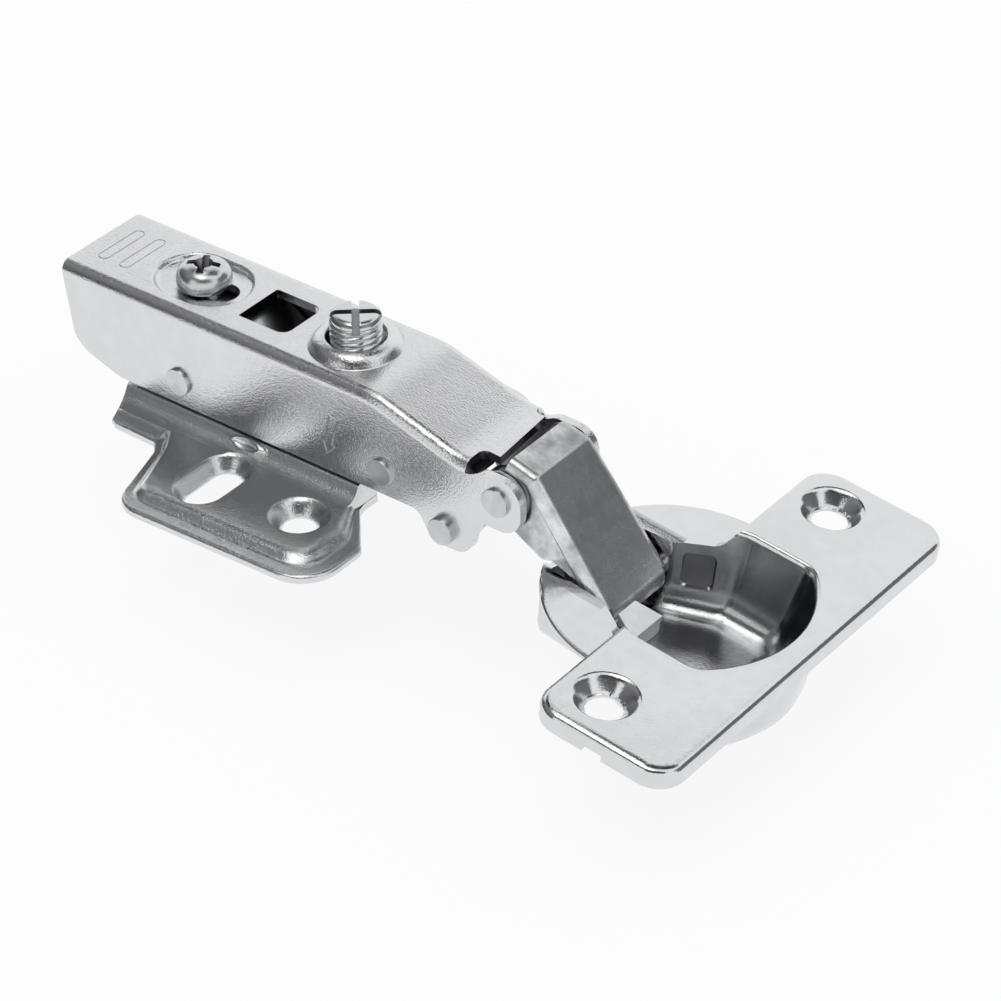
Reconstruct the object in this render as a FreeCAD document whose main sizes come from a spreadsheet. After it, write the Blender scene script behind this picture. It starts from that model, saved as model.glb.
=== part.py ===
import FreeCAD, Part
import math
import os
import Sketcher
from FreeCAD import Placement, Rotation, Vector

# Concealed cabinet hinge, in millimetres.
# Origin: on the mounting face, midway between the two round plate screws.
# +X runs along the arm to the door cup, +Z is the normal of the cabinet side.

doc = FreeCAD.newDocument("CabinetHinge")
sheet = doc.addObject("Spreadsheet::Sheet", "Sizes")
sheet_rows = []


class Size:
    # A number from the sheet together with the expression that reads it.
    def __init__(self, value, text):
        self.value = value
        self.text = text

    def __add__(self, other):
        other = as_size(other)
        return Size(self.value + other.value, "(%s + %s)" % (self.text, other.text))

    def __radd__(self, other):
        return as_size(other) + self

    def __sub__(self, other):
        other = as_size(other)
        return Size(self.value - other.value, "(%s - %s)" % (self.text, other.text))

    def __rsub__(self, other):
        return as_size(other) - self

    def __mul__(self, other):
        other = as_size(other)
        return Size(self.value * other.value, "(%s * %s)" % (self.text, other.text))

    def __rmul__(self, other):
        return as_size(other) * self

    def __neg__(self):
        return Size(-self.value, "(0 - %s)" % self.text)


def as_size(number):
    if isinstance(number, Size):
        return number
    return Size(float(number), "(%.6f)" % float(number))


def size(name, value):
    row = len(sheet_rows) + 1
    sheet.set("A%d" % row, name)
    sheet.set("B%d" % row, "%.6f" % value)
    sheet.setAlias("B%d" % row, name)
    sheet_rows.append(name)
    return Size(float(value), "Sizes.%s" % name)


def cos_of(angle):
    return Size(math.cos(math.radians(angle.value)), "cos(%s * 1deg)" % angle.text)


def sin_of(angle):
    return Size(math.sin(math.radians(angle.value)), "sin(%s * 1deg)" % angle.text)


# Arm: a folded channel, cranked down towards the cup
arm_half = size("arm_half", 8.2)
arm_sheet = size("arm_sheet", 1.2)
arm_rear = size("arm_rear", 46.7)
arm_top = size("arm_top", 18.5)
arm_bottom = size("arm_bottom", 4.15)
arm_rear_slant = size("arm_rear_slant", 1.7)
arm_foot_rise = size("arm_foot_rise", 3.4)
arm_foot_back = size("arm_foot_back", 38.0)
fold_radius = size("fold_radius", 1.15)
crank_start = size("crank_start", 4.6)
crank_end = size("crank_end", 18.2)
crank_drop = size("crank_drop", 4.45)
crank_radius = size("crank_radius", 9.0)
web_front = size("web_front", 22.6)

# Arm pivots and the ears round them
outer_pivot_x = size("outer_pivot_x", 25.7)
outer_pivot_z = size("outer_pivot_z", 10.6)
inner_pivot_x = size("inner_pivot_x", 17.25)
inner_pivot_z = size("inner_pivot_z", 2.9)
ear_reach = size("ear_reach", 4.4)
ear_drop = size("ear_drop", 4.2)
ear_top_radius = size("ear_top_radius", 2.4)
ear_low_radius = size("ear_low_radius", 3.4)
notch_x = size("notch_x", 22.9)
notch_depth = size("notch_depth", 0.45)
lug_front = size("lug_front", 4.7)
lug_back = size("lug_back", 1.9)
lug_shoulder = size("lug_shoulder", 4.1)
lug_drop = size("lug_drop", 2.55)
lug_rise = size("lug_rise", 0.6)
lug_front_radius = size("lug_front_radius", 3.0)
lug_back_radius = size("lug_back_radius", 2.0)

# Recess, slot, window and collar on the arm's top
recess_x = size("recess_x", 28.8)
recess_half = size("recess_half", 1.75)
recess_radius = size("recess_radius", 5.25)
recess_depth = size("recess_depth", 0.8)
recess_wall = size("recess_wall", 0.7)
slot_rear = size("slot_rear", 31.5)
slot_front = size("slot_front", 23.3)
slot_width = size("slot_width", 4.4)
window_rear = size("window_rear", 19.5)
window_front = size("window_front", 11.7)
window_half = size("window_half", 3.9)
window_radius = size("window_radius", 1.5)
collar_x = size("collar_x", 3.0)
collar_radius = size("collar_radius", 6.1)
collar_lip = size("collar_lip", 4.7)
collar_height = size("collar_height", 1.5)
tilt_clearance = size("tilt_clearance", 0.5)

# Pins and rivets
pin_radius = size("pin_radius", 1.5)
cross_pin_radius = size("cross_pin_radius", 1.3)
rivet_head = size("rivet_head", 1.9)
cross_head = size("cross_head", 1.7)
head_height = size("head_height", 0.5)
run_clearance = size("run_clearance", 0.05)
side_clearance = size("side_clearance", 0.1)
rear_pin_x = size("rear_pin_x", 26.7)
rear_pin_z = size("rear_pin_z", 7.7)
front_pin_x = size("front_pin_x", 7.24)
front_pin_z = size("front_pin_z", 7.5)

# Carrier on the rail
rail_half = size("rail_half", 6.6)
rail_top = size("rail_top", 5.6)
bracket_sheet = size("bracket_sheet", 1.2)
bracket_rear = size("bracket_rear", 36.0)
bracket_front = size("bracket_front", 2.4)
bracket_high_gap = size("bracket_high_gap", 0.4)
bracket_slope = size("bracket_slope", 1.5)
bracket_high_front = size("bracket_high_front", 21.5)
bracket_low = size("bracket_low", 9.6)
bracket_low_start = size("bracket_low_start", 11.4)
slide_back = size("slide_back", 3.0)
slide_ahead = size("slide_ahead", 0.7)
neck_slot_rear = size("neck_slot_rear", 8.4)

# Depth screw
depth_screw_x = size("depth_screw_x", 28.7)
pan_radius = size("pan_radius", 3.7)
pan_height = size("pan_height", 2.75)
pan_gap = size("pan_gap", 0.1)
depth_shank = size("depth_shank", 2.0)
depth_length = size("depth_length", 5.6)
recess_arm = size("recess_arm", 2.0)
recess_slit = size("recess_slit", 0.9)
drive_depth = size("drive_depth", 1.5)

# Side screw and its shoe
stub_radius = size("stub_radius", 3.4)
stub_top = size("stub_top", 23.4)
neck_radius = size("neck_radius", 2.0)
foot_radius = size("foot_radius", 3.1)
foot_height = size("foot_height", 1.0)
shoe_half = size("shoe_half", 4.6)
shoe_thick = size("shoe_thick", 0.8)
seat_gap = size("seat_gap", 0.05)

# Clip lever
lever_inset = size("lever_inset", 2.0)
lever_x = bracket_rear - lever_inset
lever_z = size("lever_z", 9.2)
lever_half = size("lever_half", 4.6)
lever_boss = size("lever_boss", 2.2)
lever_pin_radius = size("lever_pin_radius", 1.2)
lever_tab = size("lever_tab", 44.0)
lever_tab_rise = size("lever_tab_rise", 3.0)
lever_thick = size("lever_thick", 1.3)
hook_gap = size("hook_gap", 0.3)
hook_low = size("hook_low", 4.6)
hook_thick = size("hook_thick", 1.6)

# Outer link
link_half = size("link_half", 6.3)
link_sheet = size("link_sheet", 1.0)
link_face = size("link_face", 51.9)
link_length = size("link_length", 18.5)
link_top_rise = size("link_top_rise", 4.66)
link_ear = size("link_ear", 3.4)
knuckle_radius = size("knuckle_radius", 2.4)
knuckle_half = size("knuckle_half", 5.5)
washer_radius = size("washer_radius", 3.6)
washer_thick = size("washer_thick", 0.5)

# Inner link and the closing spring
inner_half = size("inner_half", 4.9)
inner_eye = size("inner_eye", 2.4)
cup_eye = size("cup_eye", 2.0)
spring_half = size("spring_half", 3.5)
spring_thick = size("spring_thick", 0.7)
spring_reach = size("spring_reach", 9.0)
spring_fall = size("spring_fall", 2.9)

# Cup: placed at its screw line, tilted in the open pose
cup_x = size("cup_x", 54.27)
cup_z = size("cup_z", 3.55)
cup_tilt = size("cup_tilt", 7.04)
plate_left = size("plate_left", 6.35)
plate_right = size("plate_right", 14.07)
plate_half = size("plate_half", 30.3)
plate_corner = size("plate_corner", 4.0)
plate_sheet = size("plate_sheet", 0.9)
skirt_height = size("skirt_height", 2.735)
rim_radius = size("rim_radius", 17.5)
rim_back = size("rim_back", 6.0)
cup_radius = size("cup_radius", 17.4)
cup_wall = size("cup_wall", 0.9)
cup_depth = size("cup_depth", 11.465)
cup_bottom_round = size("cup_bottom_round", 1.6)
pocket_half = size("pocket_half", 12.4)
pocket_floor_half = size("pocket_floor_half", 10.6)
throat_half = size("throat_half", 7.6)
throat_x = size("throat_x", 12.5)
pocket_shoulder = size("pocket_shoulder", 5.0)
throat_reach = size("throat_reach", 16.4)
valley_depth = size("valley_depth", 3.3)
valley_radius = size("valley_radius", 10.0)
cup_screw_pitch = size("cup_screw_pitch", 48.0)
cup_sink_radius = size("cup_sink_radius", 4.05)
cup_hole_radius = size("cup_hole_radius", 2.5)
cup_boss_depth = size("cup_boss_depth", 1.9)
outer_pin_x = size("outer_pin_x", 14.0)
outer_pin_z = size("outer_pin_z", 7.2)
inner_pin_x = size("inner_pin_x", 18.1)
inner_pin_z = size("inner_pin_z", 4.8)
inner_pin_radius = size("inner_pin_radius", 1.2)
tab_rear = size("tab_rear", 8.4)
tab_width = size("tab_width", 4.3)
tab_end = size("tab_end", 6.5)
tab_top = size("tab_top", 1.0)
tab_depth = size("tab_depth", 2.4)

# Mounting plate
plate_screw_pitch = size("plate_screw_pitch", 32.0)
wing_half = size("wing_half", 26.0)
wing_top = size("wing_top", 2.15)
wing_sheet = size("wing_sheet", 1.2)
wing_flat = size("wing_flat", 22.3)
wing_rim = size("wing_rim", 24.9)
wing_rim_top = size("wing_rim_top", 1.2)
wing_front = size("wing_front", 9.7)
wing_front_half = size("wing_front_half", 15.5)
wing_rear = size("wing_rear", 22.0)
wing_corner = size("wing_corner", 4.0)
rear_corner = size("rear_corner", 2.5)
strip_rear = size("strip_rear", 34.3)
strip_half = size("strip_half", 13.1)
rail_front = size("rail_front", 4.6)
rail_foot = size("rail_foot", 11.3)
round_sink = size("round_sink", 3.9)
round_hole = size("round_hole", 2.3)
slot_x = size("slot_x", 14.2)
slot_pitch = size("slot_pitch", 32.6)
slot_sink_long = size("slot_sink_long", 11.2)
slot_sink_wide = size("slot_sink_wide", 6.2)
slot_long = size("slot_long", 9.0)
slot_wide = size("slot_wide", 4.0)
sink_depth = size("sink_depth", 0.7)
hole_wall = size("hole_wall", 1.2)

arm_inner = arm_half - arm_sheet
crank_level = arm_top - crank_drop
web_under = arm_top - arm_sheet
doc.recompute()


# Helpers

def origin_plane(body, role):
    for feature in body.Origin.OriginFeatures:
        if feature.Role == role:
            return feature
    raise ValueError(role)


def new_body(label):
    body = doc.addObject("PartDesign::Body", "Body_" + label)
    body.Label = label
    return body


def new_sketch(body, role, offset=None):
    # offset is measured along the plane's own axes: right, up, normal
    sketch = body.newObject("Sketcher::SketchObject", "Sketch")
    sketch.AttachmentSupport = [(origin_plane(body, role), "")]
    sketch.MapMode = "FlatFace"
    if offset is not None:
        base = [as_size(number) for number in offset]
        sketch.AttachmentOffset = Placement(Vector(*[b.value for b in base]), Rotation())
        for axis, b in zip("xyz", base):
            sketch.setExpression("AttachmentOffset.Base.%s" % axis, b.text)
    return sketch


def bind(sketch, constraint, number):
    index = sketch.addConstraint(constraint)
    sketch.setExpression("Constraints[%d]" % index, number.text)


def polygon(sketch, corners):
    # A closed run of straight lines whose corners are bound one by one.
    points = [(as_size(a), as_size(b)) for a, b in corners]
    first = sketch.GeometryCount
    count = len(points)
    for i in range(count):
        start = points[i]
        end = points[(i + 1) % count]
        line = Part.LineSegment(
            Vector(start[0].value, start[1].value, 0),
            Vector(end[0].value, end[1].value, 0),
        )
        sketch.addGeometry(line)
    for i in range(count):
        after = first + (i + 1) % count
        sketch.addConstraint(Sketcher.Constraint("Coincident", first + i, 2, after, 1))
    for i in range(count):
        a, b = points[i]
        bind(sketch, Sketcher.Constraint("DistanceX", first + i, 1, a.value), a)
        bind(sketch, Sketcher.Constraint("DistanceY", first + i, 1, b.value), b)


def circle(sketch, a, b, radius):
    a = as_size(a)
    b = as_size(b)
    radius = as_size(radius)
    index = sketch.addGeometry(
        Part.Circle(Vector(a.value, b.value, 0), Vector(0, 0, 1), radius.value)
    )
    bind(sketch, Sketcher.Constraint("Radius", index, radius.value), radius)
    bind(sketch, Sketcher.Constraint("DistanceX", index, 3, a.value), a)
    bind(sketch, Sketcher.Constraint("DistanceY", index, 3, b.value), b)


def rectangle(sketch, low_a, low_b, high_a, high_b):
    polygon(sketch, [(low_a, low_b), (high_a, low_b), (high_a, high_b), (low_a, high_b)])


def pad(body, sketch, half):
    # Both ways from the sketch plane, half on each side.
    length = as_size(half) * 2
    feature = body.newObject("PartDesign::Pad", "Pad")
    feature.Profile = sketch
    feature.Midplane = True
    feature.Length = length.value
    feature.setExpression("Length", length.text)
    doc.recompute()
    return feature


def pad_up(body, sketch, length):
    length = as_size(length)
    feature = body.newObject("PartDesign::Pad", "Pad")
    feature.Profile = sketch
    feature.Length = length.value
    feature.setExpression("Length", length.text)
    doc.recompute()
    return feature


def pocket(body, sketch, half):
    # A cut both ways from the sketch plane; it has to take something away.
    length = as_size(half) * 2
    before = body.Shape.Volume
    feature = body.newObject("PartDesign::Pocket", "Pocket")
    feature.Profile = sketch
    feature.Midplane = True
    feature.Length = length.value
    feature.setExpression("Length", length.text)
    doc.recompute()
    if body.Shape.Volume >= before - 1e-6:
        raise ValueError("the cut in %s takes nothing away" % body.Label)
    return feature


def revolve(body, sketch):
    feature = body.newObject("PartDesign::Revolution", "Revolution")
    feature.Profile = sketch
    feature.ReferenceAxis = (sketch, ["V_Axis"])
    feature.Angle = 360
    doc.recompute()
    return feature


def cross_edges(feature, spots):
    # Edges along Y that pass through the given (x, z) spots.
    names = []
    for number, edge in enumerate(feature.Shape.Edges, 1):
        if len(edge.Vertexes) != 2:
            continue
        a = edge.Vertexes[0].Point
        b = edge.Vertexes[1].Point
        if abs(a.x - b.x) > 1e-4 or abs(a.z - b.z) > 1e-4:
            continue
        for spot in spots:
            x = as_size(spot[0]).value
            z = as_size(spot[1]).value
            if abs(a.x - x) < 1e-3 and abs(a.z - z) < 1e-3:
                names.append("Edge%d" % number)
    return names


def round_edges(body, feature, names, radius):
    if not names:
        raise ValueError("no edge to round in %s" % body.Label)
    fillet = body.newObject("PartDesign::Fillet", "Fillet")
    fillet.Base = (feature, names)
    fillet.Radius = radius.value
    fillet.setExpression("Radius", radius.text)
    doc.recompute()
    return fillet


def round_corners(body, feature, spots, radius):
    return round_edges(body, feature, cross_edges(feature, spots), as_size(radius))


def cylinder_y(label, x, z, radius, half):
    # A plain pin across the hinge.
    x = as_size(x)
    z = as_size(z)
    radius = as_size(radius)
    half = as_size(half)
    body = new_body(label)
    sketch = new_sketch(body, "XZ_Plane")
    circle(sketch, x, z, radius)
    pad(body, sketch, half)
    return body


def headed_pin(label, x, z, radius, half, head_radius, head):
    # A rivet across the hinge with a flat head outside each ear.
    body = cylinder_y(label, x, z, radius, as_size(half) + head)
    for side in (1, -1):
        sketch = new_sketch(body, "XZ_Plane", (0, 0, as_size(half) * side))
        circle(sketch, x, z, head_radius)
        feature = pad_up(body, sketch, head)
        if side < 0:
            feature.Reversed = True
            doc.recompute()
    return body


def short_rivet(label, side):
    # One rivet through one ear only: shank flush inside, head outside.
    body = new_body(label)
    sketch = new_sketch(body, "XZ_Plane", (0, 0, arm_inner * side))
    circle(sketch, inner_pivot_x, inner_pivot_z, pin_radius)
    feature = pad_up(body, sketch, arm_sheet + head_height)
    feature.Reversed = side < 0
    doc.recompute()
    sketch = new_sketch(body, "XZ_Plane", (0, 0, arm_half * side))
    circle(sketch, inner_pivot_x, inner_pivot_z, rivet_head)
    feature = pad_up(body, sketch, head_height * 2)
    feature.Reversed = side < 0
    doc.recompute()
    sketch = new_sketch(body, "XZ_Plane", (0, 0, arm_inner * side))
    circle(sketch, inner_pivot_x, inner_pivot_z, pin_radius - 0.3)
    feature = pad_up(body, sketch, arm_inner - inner_half - side_clearance)
    feature.Reversed = side > 0
    doc.recompute()
    return body


def cross_drive(body, x, top):
    # Cross recess cut down from the screw's top.
    x = as_size(x)
    for across in (0, 1):
        sketch = new_sketch(body, "XY_Plane", (x, 0, top))
        if across:
            rectangle(sketch, -recess_arm, -recess_slit * 0.5, recess_arm, recess_slit * 0.5)
        else:
            rectangle(sketch, -recess_slit * 0.5, -recess_arm, recess_slit * 0.5, recess_arm)
        pocket(body, sketch, drive_depth)


# Arm

arm = new_body("hinge_arm")
sketch = new_sketch(arm, "XZ_Plane")
lug_front_x = inner_pivot_x + lug_front
lug_back_x = inner_pivot_x - lug_back
lug_low = inner_pivot_z - lug_drop
notch_z = outer_pivot_z - ear_drop - notch_depth
polygon(sketch, [
    (-arm_rear, arm_top),
    (crank_start, arm_top),
    (crank_end, crank_level),
    (web_front, crank_level),
    (web_front, notch_z),
    (lug_front_x, inner_pivot_z + lug_rise),
    (lug_front_x, lug_low),
    (lug_back_x, lug_low),
    (inner_pivot_x - lug_shoulder, arm_bottom),
    (-arm_foot_back, arm_bottom),
    (arm_rear_slant * 2 - arm_rear, arm_bottom + 1.7),
    (arm_rear_slant - arm_rear, arm_bottom + arm_foot_rise),
])
feature = pad(arm, sketch, arm_half)
bends = [(crank_start, arm_top), (crank_end, crank_level)]
feature = round_corners(arm, feature, bends, crank_radius)
feature = round_corners(arm, feature, [(lug_front_x, lug_low)], lug_front_radius)
feature = round_corners(arm, feature, [(lug_back_x, lug_low)], lug_back_radius)
folds = []
for number, edge in enumerate(feature.Shape.Edges, 1):
    box = edge.BoundBox
    if box.YLength < 1e-6 and abs(abs(box.YMax) - arm_half.value) < 1e-4:
        middle = edge.valueAt((edge.FirstParameter + edge.LastParameter) / 2)
        if abs(middle.z - arm_top.value) < 1e-4 and box.XLength > 20:
            folds.append("Edge%d" % number)
feature = round_edges(arm, feature, folds, fold_radius)

# Ears round the outer link's pivot
sketch = new_sketch(arm, "XZ_Plane")
ear_x = outer_pivot_x + ear_reach
ear_low = outer_pivot_z - ear_drop
polygon(sketch, [
    (notch_x - 4, notch_z),
    (notch_x, notch_z),
    (notch_x + 0.6, ear_low),
    (ear_x, ear_low),
    (ear_x, crank_level),
    (web_front, crank_level),
    (web_front, crank_level - fold_radius),
    (notch_x - 4, crank_level - fold_radius * 2),
])
feature = pad(arm, sketch, arm_half)
feature = round_corners(arm, feature, [(ear_x, crank_level)], ear_top_radius)
feature = round_corners(arm, feature, [(ear_x, ear_low)], ear_low_radius)

# Channel between the side walls, open below, behind and ahead of the web
sketch = new_sketch(arm, "XZ_Plane")
polygon(sketch, [
    (-arm_rear - 5, web_under),
    (crank_start, web_under),
    (crank_end, crank_level - arm_sheet),
    (web_front, crank_level - arm_sheet),
    (web_front, arm_top + 5),
    (ear_x + 5, arm_top + 5),
    (ear_x + 5, -10),
    (-arm_rear - 5, -10),
])
pocket(arm, sketch, arm_inner)

# Pressed oval recess with the screw's slot
sketch = new_sketch(arm, "XY_Plane", (-recess_x, 0, web_under - recess_depth))
rectangle(sketch, -recess_half, -(recess_radius + recess_wall), recess_half,
          recess_radius + recess_wall)
pad_up(arm, sketch, recess_depth + 0.4)
for side in (1, -1):
    sketch = new_sketch(arm, "XY_Plane", (-recess_x, 0, web_under - recess_depth))
    circle(sketch, recess_half * side, 0, recess_radius + recess_wall)
    pad_up(arm, sketch, recess_depth + 0.4)
sketch = new_sketch(arm, "XY_Plane", (-recess_x, 0, arm_top))
rectangle(sketch, -recess_half, -recess_radius, recess_half, recess_radius)
pocket(arm, sketch, recess_depth)
for side in (1, -1):
    sketch = new_sketch(arm, "XY_Plane", (-recess_x, 0, arm_top))
    circle(sketch, recess_half * side, 0, recess_radius)
    pocket(arm, sketch, recess_depth)
slot_half = slot_width * 0.5
sketch = new_sketch(arm, "XY_Plane", (0, 0, arm_top))
rectangle(sketch, slot_half - slot_rear, -slot_half, -slot_front - slot_half, slot_half)
pocket(arm, sketch, arm_sheet + recess_depth + 1)
for end in (slot_half - slot_rear, -slot_front - slot_half):
    sketch = new_sketch(arm, "XY_Plane", (0, 0, arm_top))
    circle(sketch, end, 0, slot_half)
    pocket(arm, sketch, arm_sheet + recess_depth + 1)

# Window behind the collar
sketch = new_sketch(arm, "XY_Plane", (0, 0, arm_top))
rectangle(sketch, -window_rear, -window_half, -window_front - window_radius, window_half)
pocket(arm, sketch, arm_sheet + 1)
window_straight = window_half - window_radius
sketch = new_sketch(arm, "XY_Plane", (0, 0, arm_top))
rectangle(sketch, -window_rear, -window_straight, -window_front, window_straight)
pocket(arm, sketch, arm_sheet + 1)
for side in (1, -1):
    sketch = new_sketch(arm, "XY_Plane", (0, 0, arm_top))
    circle(sketch, -window_front - window_radius, window_straight * side, window_radius)
    pocket(arm, sketch, arm_sheet + 1)

# Flared collar for the side screw
sketch = new_sketch(arm, "XZ_Plane", (-collar_x, 0, 0))
collar_bore = stub_radius + tilt_clearance
polygon(sketch, [
    (collar_bore - 0.2, web_under),
    (collar_radius, web_under + 0.3),
    (collar_radius, arm_top + 0.1),
    (collar_lip + 0.5, arm_top + collar_height * 0.5),
    (collar_lip, arm_top + collar_height),
    (collar_bore - 0.2, arm_top + collar_height),
])
revolve(arm, sketch)
sketch = new_sketch(arm, "XY_Plane", (-collar_x, 0, arm_top))
circle(sketch, 0, 0, collar_bore)
pocket(arm, sketch, arm_sheet + collar_height + 1)

# Pin holes through both side walls
holes = [
    (-rear_pin_x, rear_pin_z, cross_pin_radius + run_clearance),
    (front_pin_x, front_pin_z, cross_pin_radius),
    (outer_pivot_x, outer_pivot_z, pin_radius),
    (inner_pivot_x, inner_pivot_z, pin_radius),
]
for x, z, radius in holes:
    sketch = new_sketch(arm, "XZ_Plane")
    circle(sketch, x, z, radius)
    pocket(arm, sketch, arm_half + 1)

# Pins of the arm

headed_pin("rear_cross_pin", -rear_pin_x, rear_pin_z, cross_pin_radius,
           arm_half + run_clearance, cross_head, head_height)
headed_pin("front_cross_pin", front_pin_x, front_pin_z, cross_pin_radius,
           arm_half, cross_head, head_height)
headed_pin("arm_front_pin", outer_pivot_x, outer_pivot_z, pin_radius,
           arm_half, rivet_head, head_height)
short_rivet("pivot_rivet_near", 1)
short_rivet("pivot_rivet_far", -1)

# Carrier that seats on the rail

bracket = new_body("slide_bracket")
bracket_high = web_under - recess_depth - bracket_high_gap
sketch = new_sketch(bracket, "XZ_Plane")
polygon(sketch, [
    (-bracket_rear, rail_top),
    (-bracket_front * -1, rail_top),
    (bracket_front, bracket_low),
    (-bracket_low_start, bracket_low),
    (-bracket_high_front, bracket_high),
    (bracket_slope - bracket_rear, bracket_high),
    (-bracket_rear, bracket_high - 2.0),
])
pad(bracket, sketch, rail_half)
sketch = new_sketch(bracket, "XZ_Plane")
polygon(sketch, [
    (-bracket_rear - 1, rail_top - 1),
    (bracket_front + 1, rail_top - 1),
    (bracket_front + 1, bracket_low - bracket_sheet),
    (-bracket_low_start - 0.3, bracket_low - bracket_sheet),
    (-bracket_high_front - 0.3, bracket_high - bracket_sheet),
    (-bracket_rear - 1, bracket_high - bracket_sheet),
])
pocket(bracket, sketch, rail_half - bracket_sheet)
sketch = new_sketch(bracket, "XZ_Plane")
polygon(sketch, [
    (-bracket_rear - 1, lever_z + lever_boss + 0.4),
    (-bracket_rear + 0.8, lever_z + lever_boss + 0.4),
    (-bracket_rear + 0.8, bracket_high + 1),
    (-bracket_rear - 1, bracket_high + 1),
])
pocket(bracket, sketch, lever_half + 0.4)
# Slots for the rear cross pin, long enough for the depth travel
pin_slot = cross_pin_radius + run_clearance
sketch = new_sketch(bracket, "XZ_Plane")
rectangle(sketch, -rear_pin_x - slide_back, rear_pin_z - pin_slot,
          slide_ahead - rear_pin_x, rear_pin_z + pin_slot)
pocket(bracket, sketch, rail_half + 1)
for end in (-rear_pin_x - slide_back, slide_ahead - rear_pin_x):
    sketch = new_sketch(bracket, "XZ_Plane")
    circle(sketch, end, rear_pin_z, pin_slot)
    pocket(bracket, sketch, rail_half + 1)
# Threaded hole of the depth screw, open slot for the side screw's neck
sketch = new_sketch(bracket, "XY_Plane", (-depth_screw_x, 0, bracket_high))
circle(sketch, 0, 0, depth_shank + run_clearance)
pocket(bracket, sketch, bracket_sheet + 1)
neck_slot = neck_radius + run_clearance
sketch = new_sketch(bracket, "XY_Plane", (0, 0, bracket_low))
rectangle(sketch, -neck_slot_rear, -neck_slot, bracket_front + 2, neck_slot)
pocket(bracket, sketch, bracket_sheet + 1)
sketch = new_sketch(bracket, "XZ_Plane")
circle(sketch, -lever_x, lever_z, lever_pin_radius)
pocket(bracket, sketch, rail_half + 1)

cylinder_y("lever_pin", -lever_x, lever_z, lever_pin_radius, rail_half)

# Clip lever: boss, finger tab to the rear, hook behind the rail's end

lever = new_body("clip_lever")
sketch = new_sketch(lever, "XZ_Plane")
hook_x = -strip_rear - hook_gap
polygon(sketch, [
    (-lever_x, lever_z + lever_boss),
    (-lever_x - 2.5, lever_z + lever_boss),
    (-lever_tab, lever_z + lever_tab_rise),
    (-lever_tab, lever_z + lever_tab_rise - lever_thick),
    (hook_x - hook_thick - 0.6, lever_z - 0.4),
    (hook_x - hook_thick, hook_low),
    (hook_x, hook_low),
    (hook_x, lever_z - lever_boss),
    (-lever_x, lever_z - lever_boss),
])
pad(lever, sketch, lever_half)
sketch = new_sketch(lever, "XZ_Plane")
circle(sketch, -lever_x, lever_z, lever_boss)
pad(lever, sketch, lever_half)
sketch = new_sketch(lever, "XZ_Plane")
circle(sketch, -lever_x, lever_z, lever_pin_radius + run_clearance)
pocket(lever, sketch, lever_half + 1)

# Depth screw

depth_screw = new_body("depth_screw")
head_low = arm_top - recess_depth + pan_gap
sketch = new_sketch(depth_screw, "XZ_Plane", (-depth_screw_x, 0, 0))
polygon(sketch, [
    (0, head_low - depth_length),
    (depth_shank - 0.4, head_low - depth_length),
    (depth_shank, head_low - depth_length + 0.4),
    (depth_shank, head_low),
    (pan_radius, head_low),
    (pan_radius, head_low + pan_height * 0.5),
    (pan_radius - 0.35, head_low + pan_height * 0.8),
    (pan_radius - 1.1, head_low + pan_height),
    (0, head_low + pan_height),
])
revolve(depth_screw, sketch)
cross_drive(depth_screw, -depth_screw_x, head_low + pan_height)

# Side screw: threaded stub, neck in the shoe, foot under the carrier's web

side_screw = new_body("side_screw")
shoe_low = bracket_low + seat_gap
stub_low = shoe_low + shoe_thick + seat_gap
web_low = bracket_low - bracket_sheet
sketch = new_sketch(side_screw, "XZ_Plane", (-collar_x, 0, 0))
polygon(sketch, [
    (0, web_low - seat_gap - foot_height),
    (foot_radius, web_low - seat_gap - foot_height),
    (foot_radius, web_low - seat_gap),
    (neck_radius, web_low - seat_gap),
    (neck_radius, stub_low),
    (stub_radius, stub_low),
    (stub_radius, stub_top - 0.4),
    (stub_radius - 0.4, stub_top),
    (0, stub_top),
])
revolve(side_screw, sketch)
cross_drive(side_screw, -collar_x, stub_top)

shoe = new_body("screw_shoe")
sketch = new_sketch(shoe, "XY_Plane", (-collar_x, 0, shoe_low))
rectangle(sketch, -shoe_half, -shoe_half, shoe_half, shoe_half)
circle(sketch, 0, 0, neck_radius + run_clearance)
pad_up(shoe, sketch, shoe_thick)

# Outer link: folded channel, ears on the arm's front pin, rolled knuckle

link = new_body("outer_link")
face_cos = cos_of(link_face)
face_sin = sin_of(link_face)
tilt_cos = cos_of(cup_tilt)
tilt_sin = sin_of(cup_tilt)
knuckle_x = cup_x - outer_pin_x * tilt_cos - outer_pin_z * tilt_sin
knuckle_z = cup_z + outer_pin_x * tilt_sin - outer_pin_z * tilt_cos
foot_x = knuckle_x + knuckle_radius * face_sin
foot_z = knuckle_z + knuckle_radius * face_cos
link_bend_x = foot_x - link_length * face_cos
link_bend_z = foot_z + link_length * face_sin
top_x = outer_pivot_x + 0.2
sketch = new_sketch(link, "XZ_Plane")
polygon(sketch, [
    (top_x, outer_pivot_z + link_top_rise),
    (link_bend_x, link_bend_z),
    (foot_x, foot_z),
    (foot_x - link_sheet * face_sin, foot_z - link_sheet * face_cos),
    (link_bend_x + 8.5, link_bend_z - 12.7),
    (link_bend_x + 5.8, link_bend_z - 11.0),
    (link_bend_x + 3.2, link_bend_z - 10.1),
    (link_bend_x + 1.8, link_bend_z - 10.6),
    (link_bend_x - 0.3, link_bend_z - 9.6),
    (link_bend_x - 2.3, link_bend_z - 8.5),
    (outer_pivot_x - 1.2, outer_pivot_z - link_ear + 0.22),
    (outer_pivot_x - link_ear + 0.06, outer_pivot_z - 0.6),
    (outer_pivot_x - link_ear + 0.3, outer_pivot_z + 1.4),
    (outer_pivot_x - link_ear + 1.7, outer_pivot_z + 2.9),
    (top_x, outer_pivot_z + link_ear),
])
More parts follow.
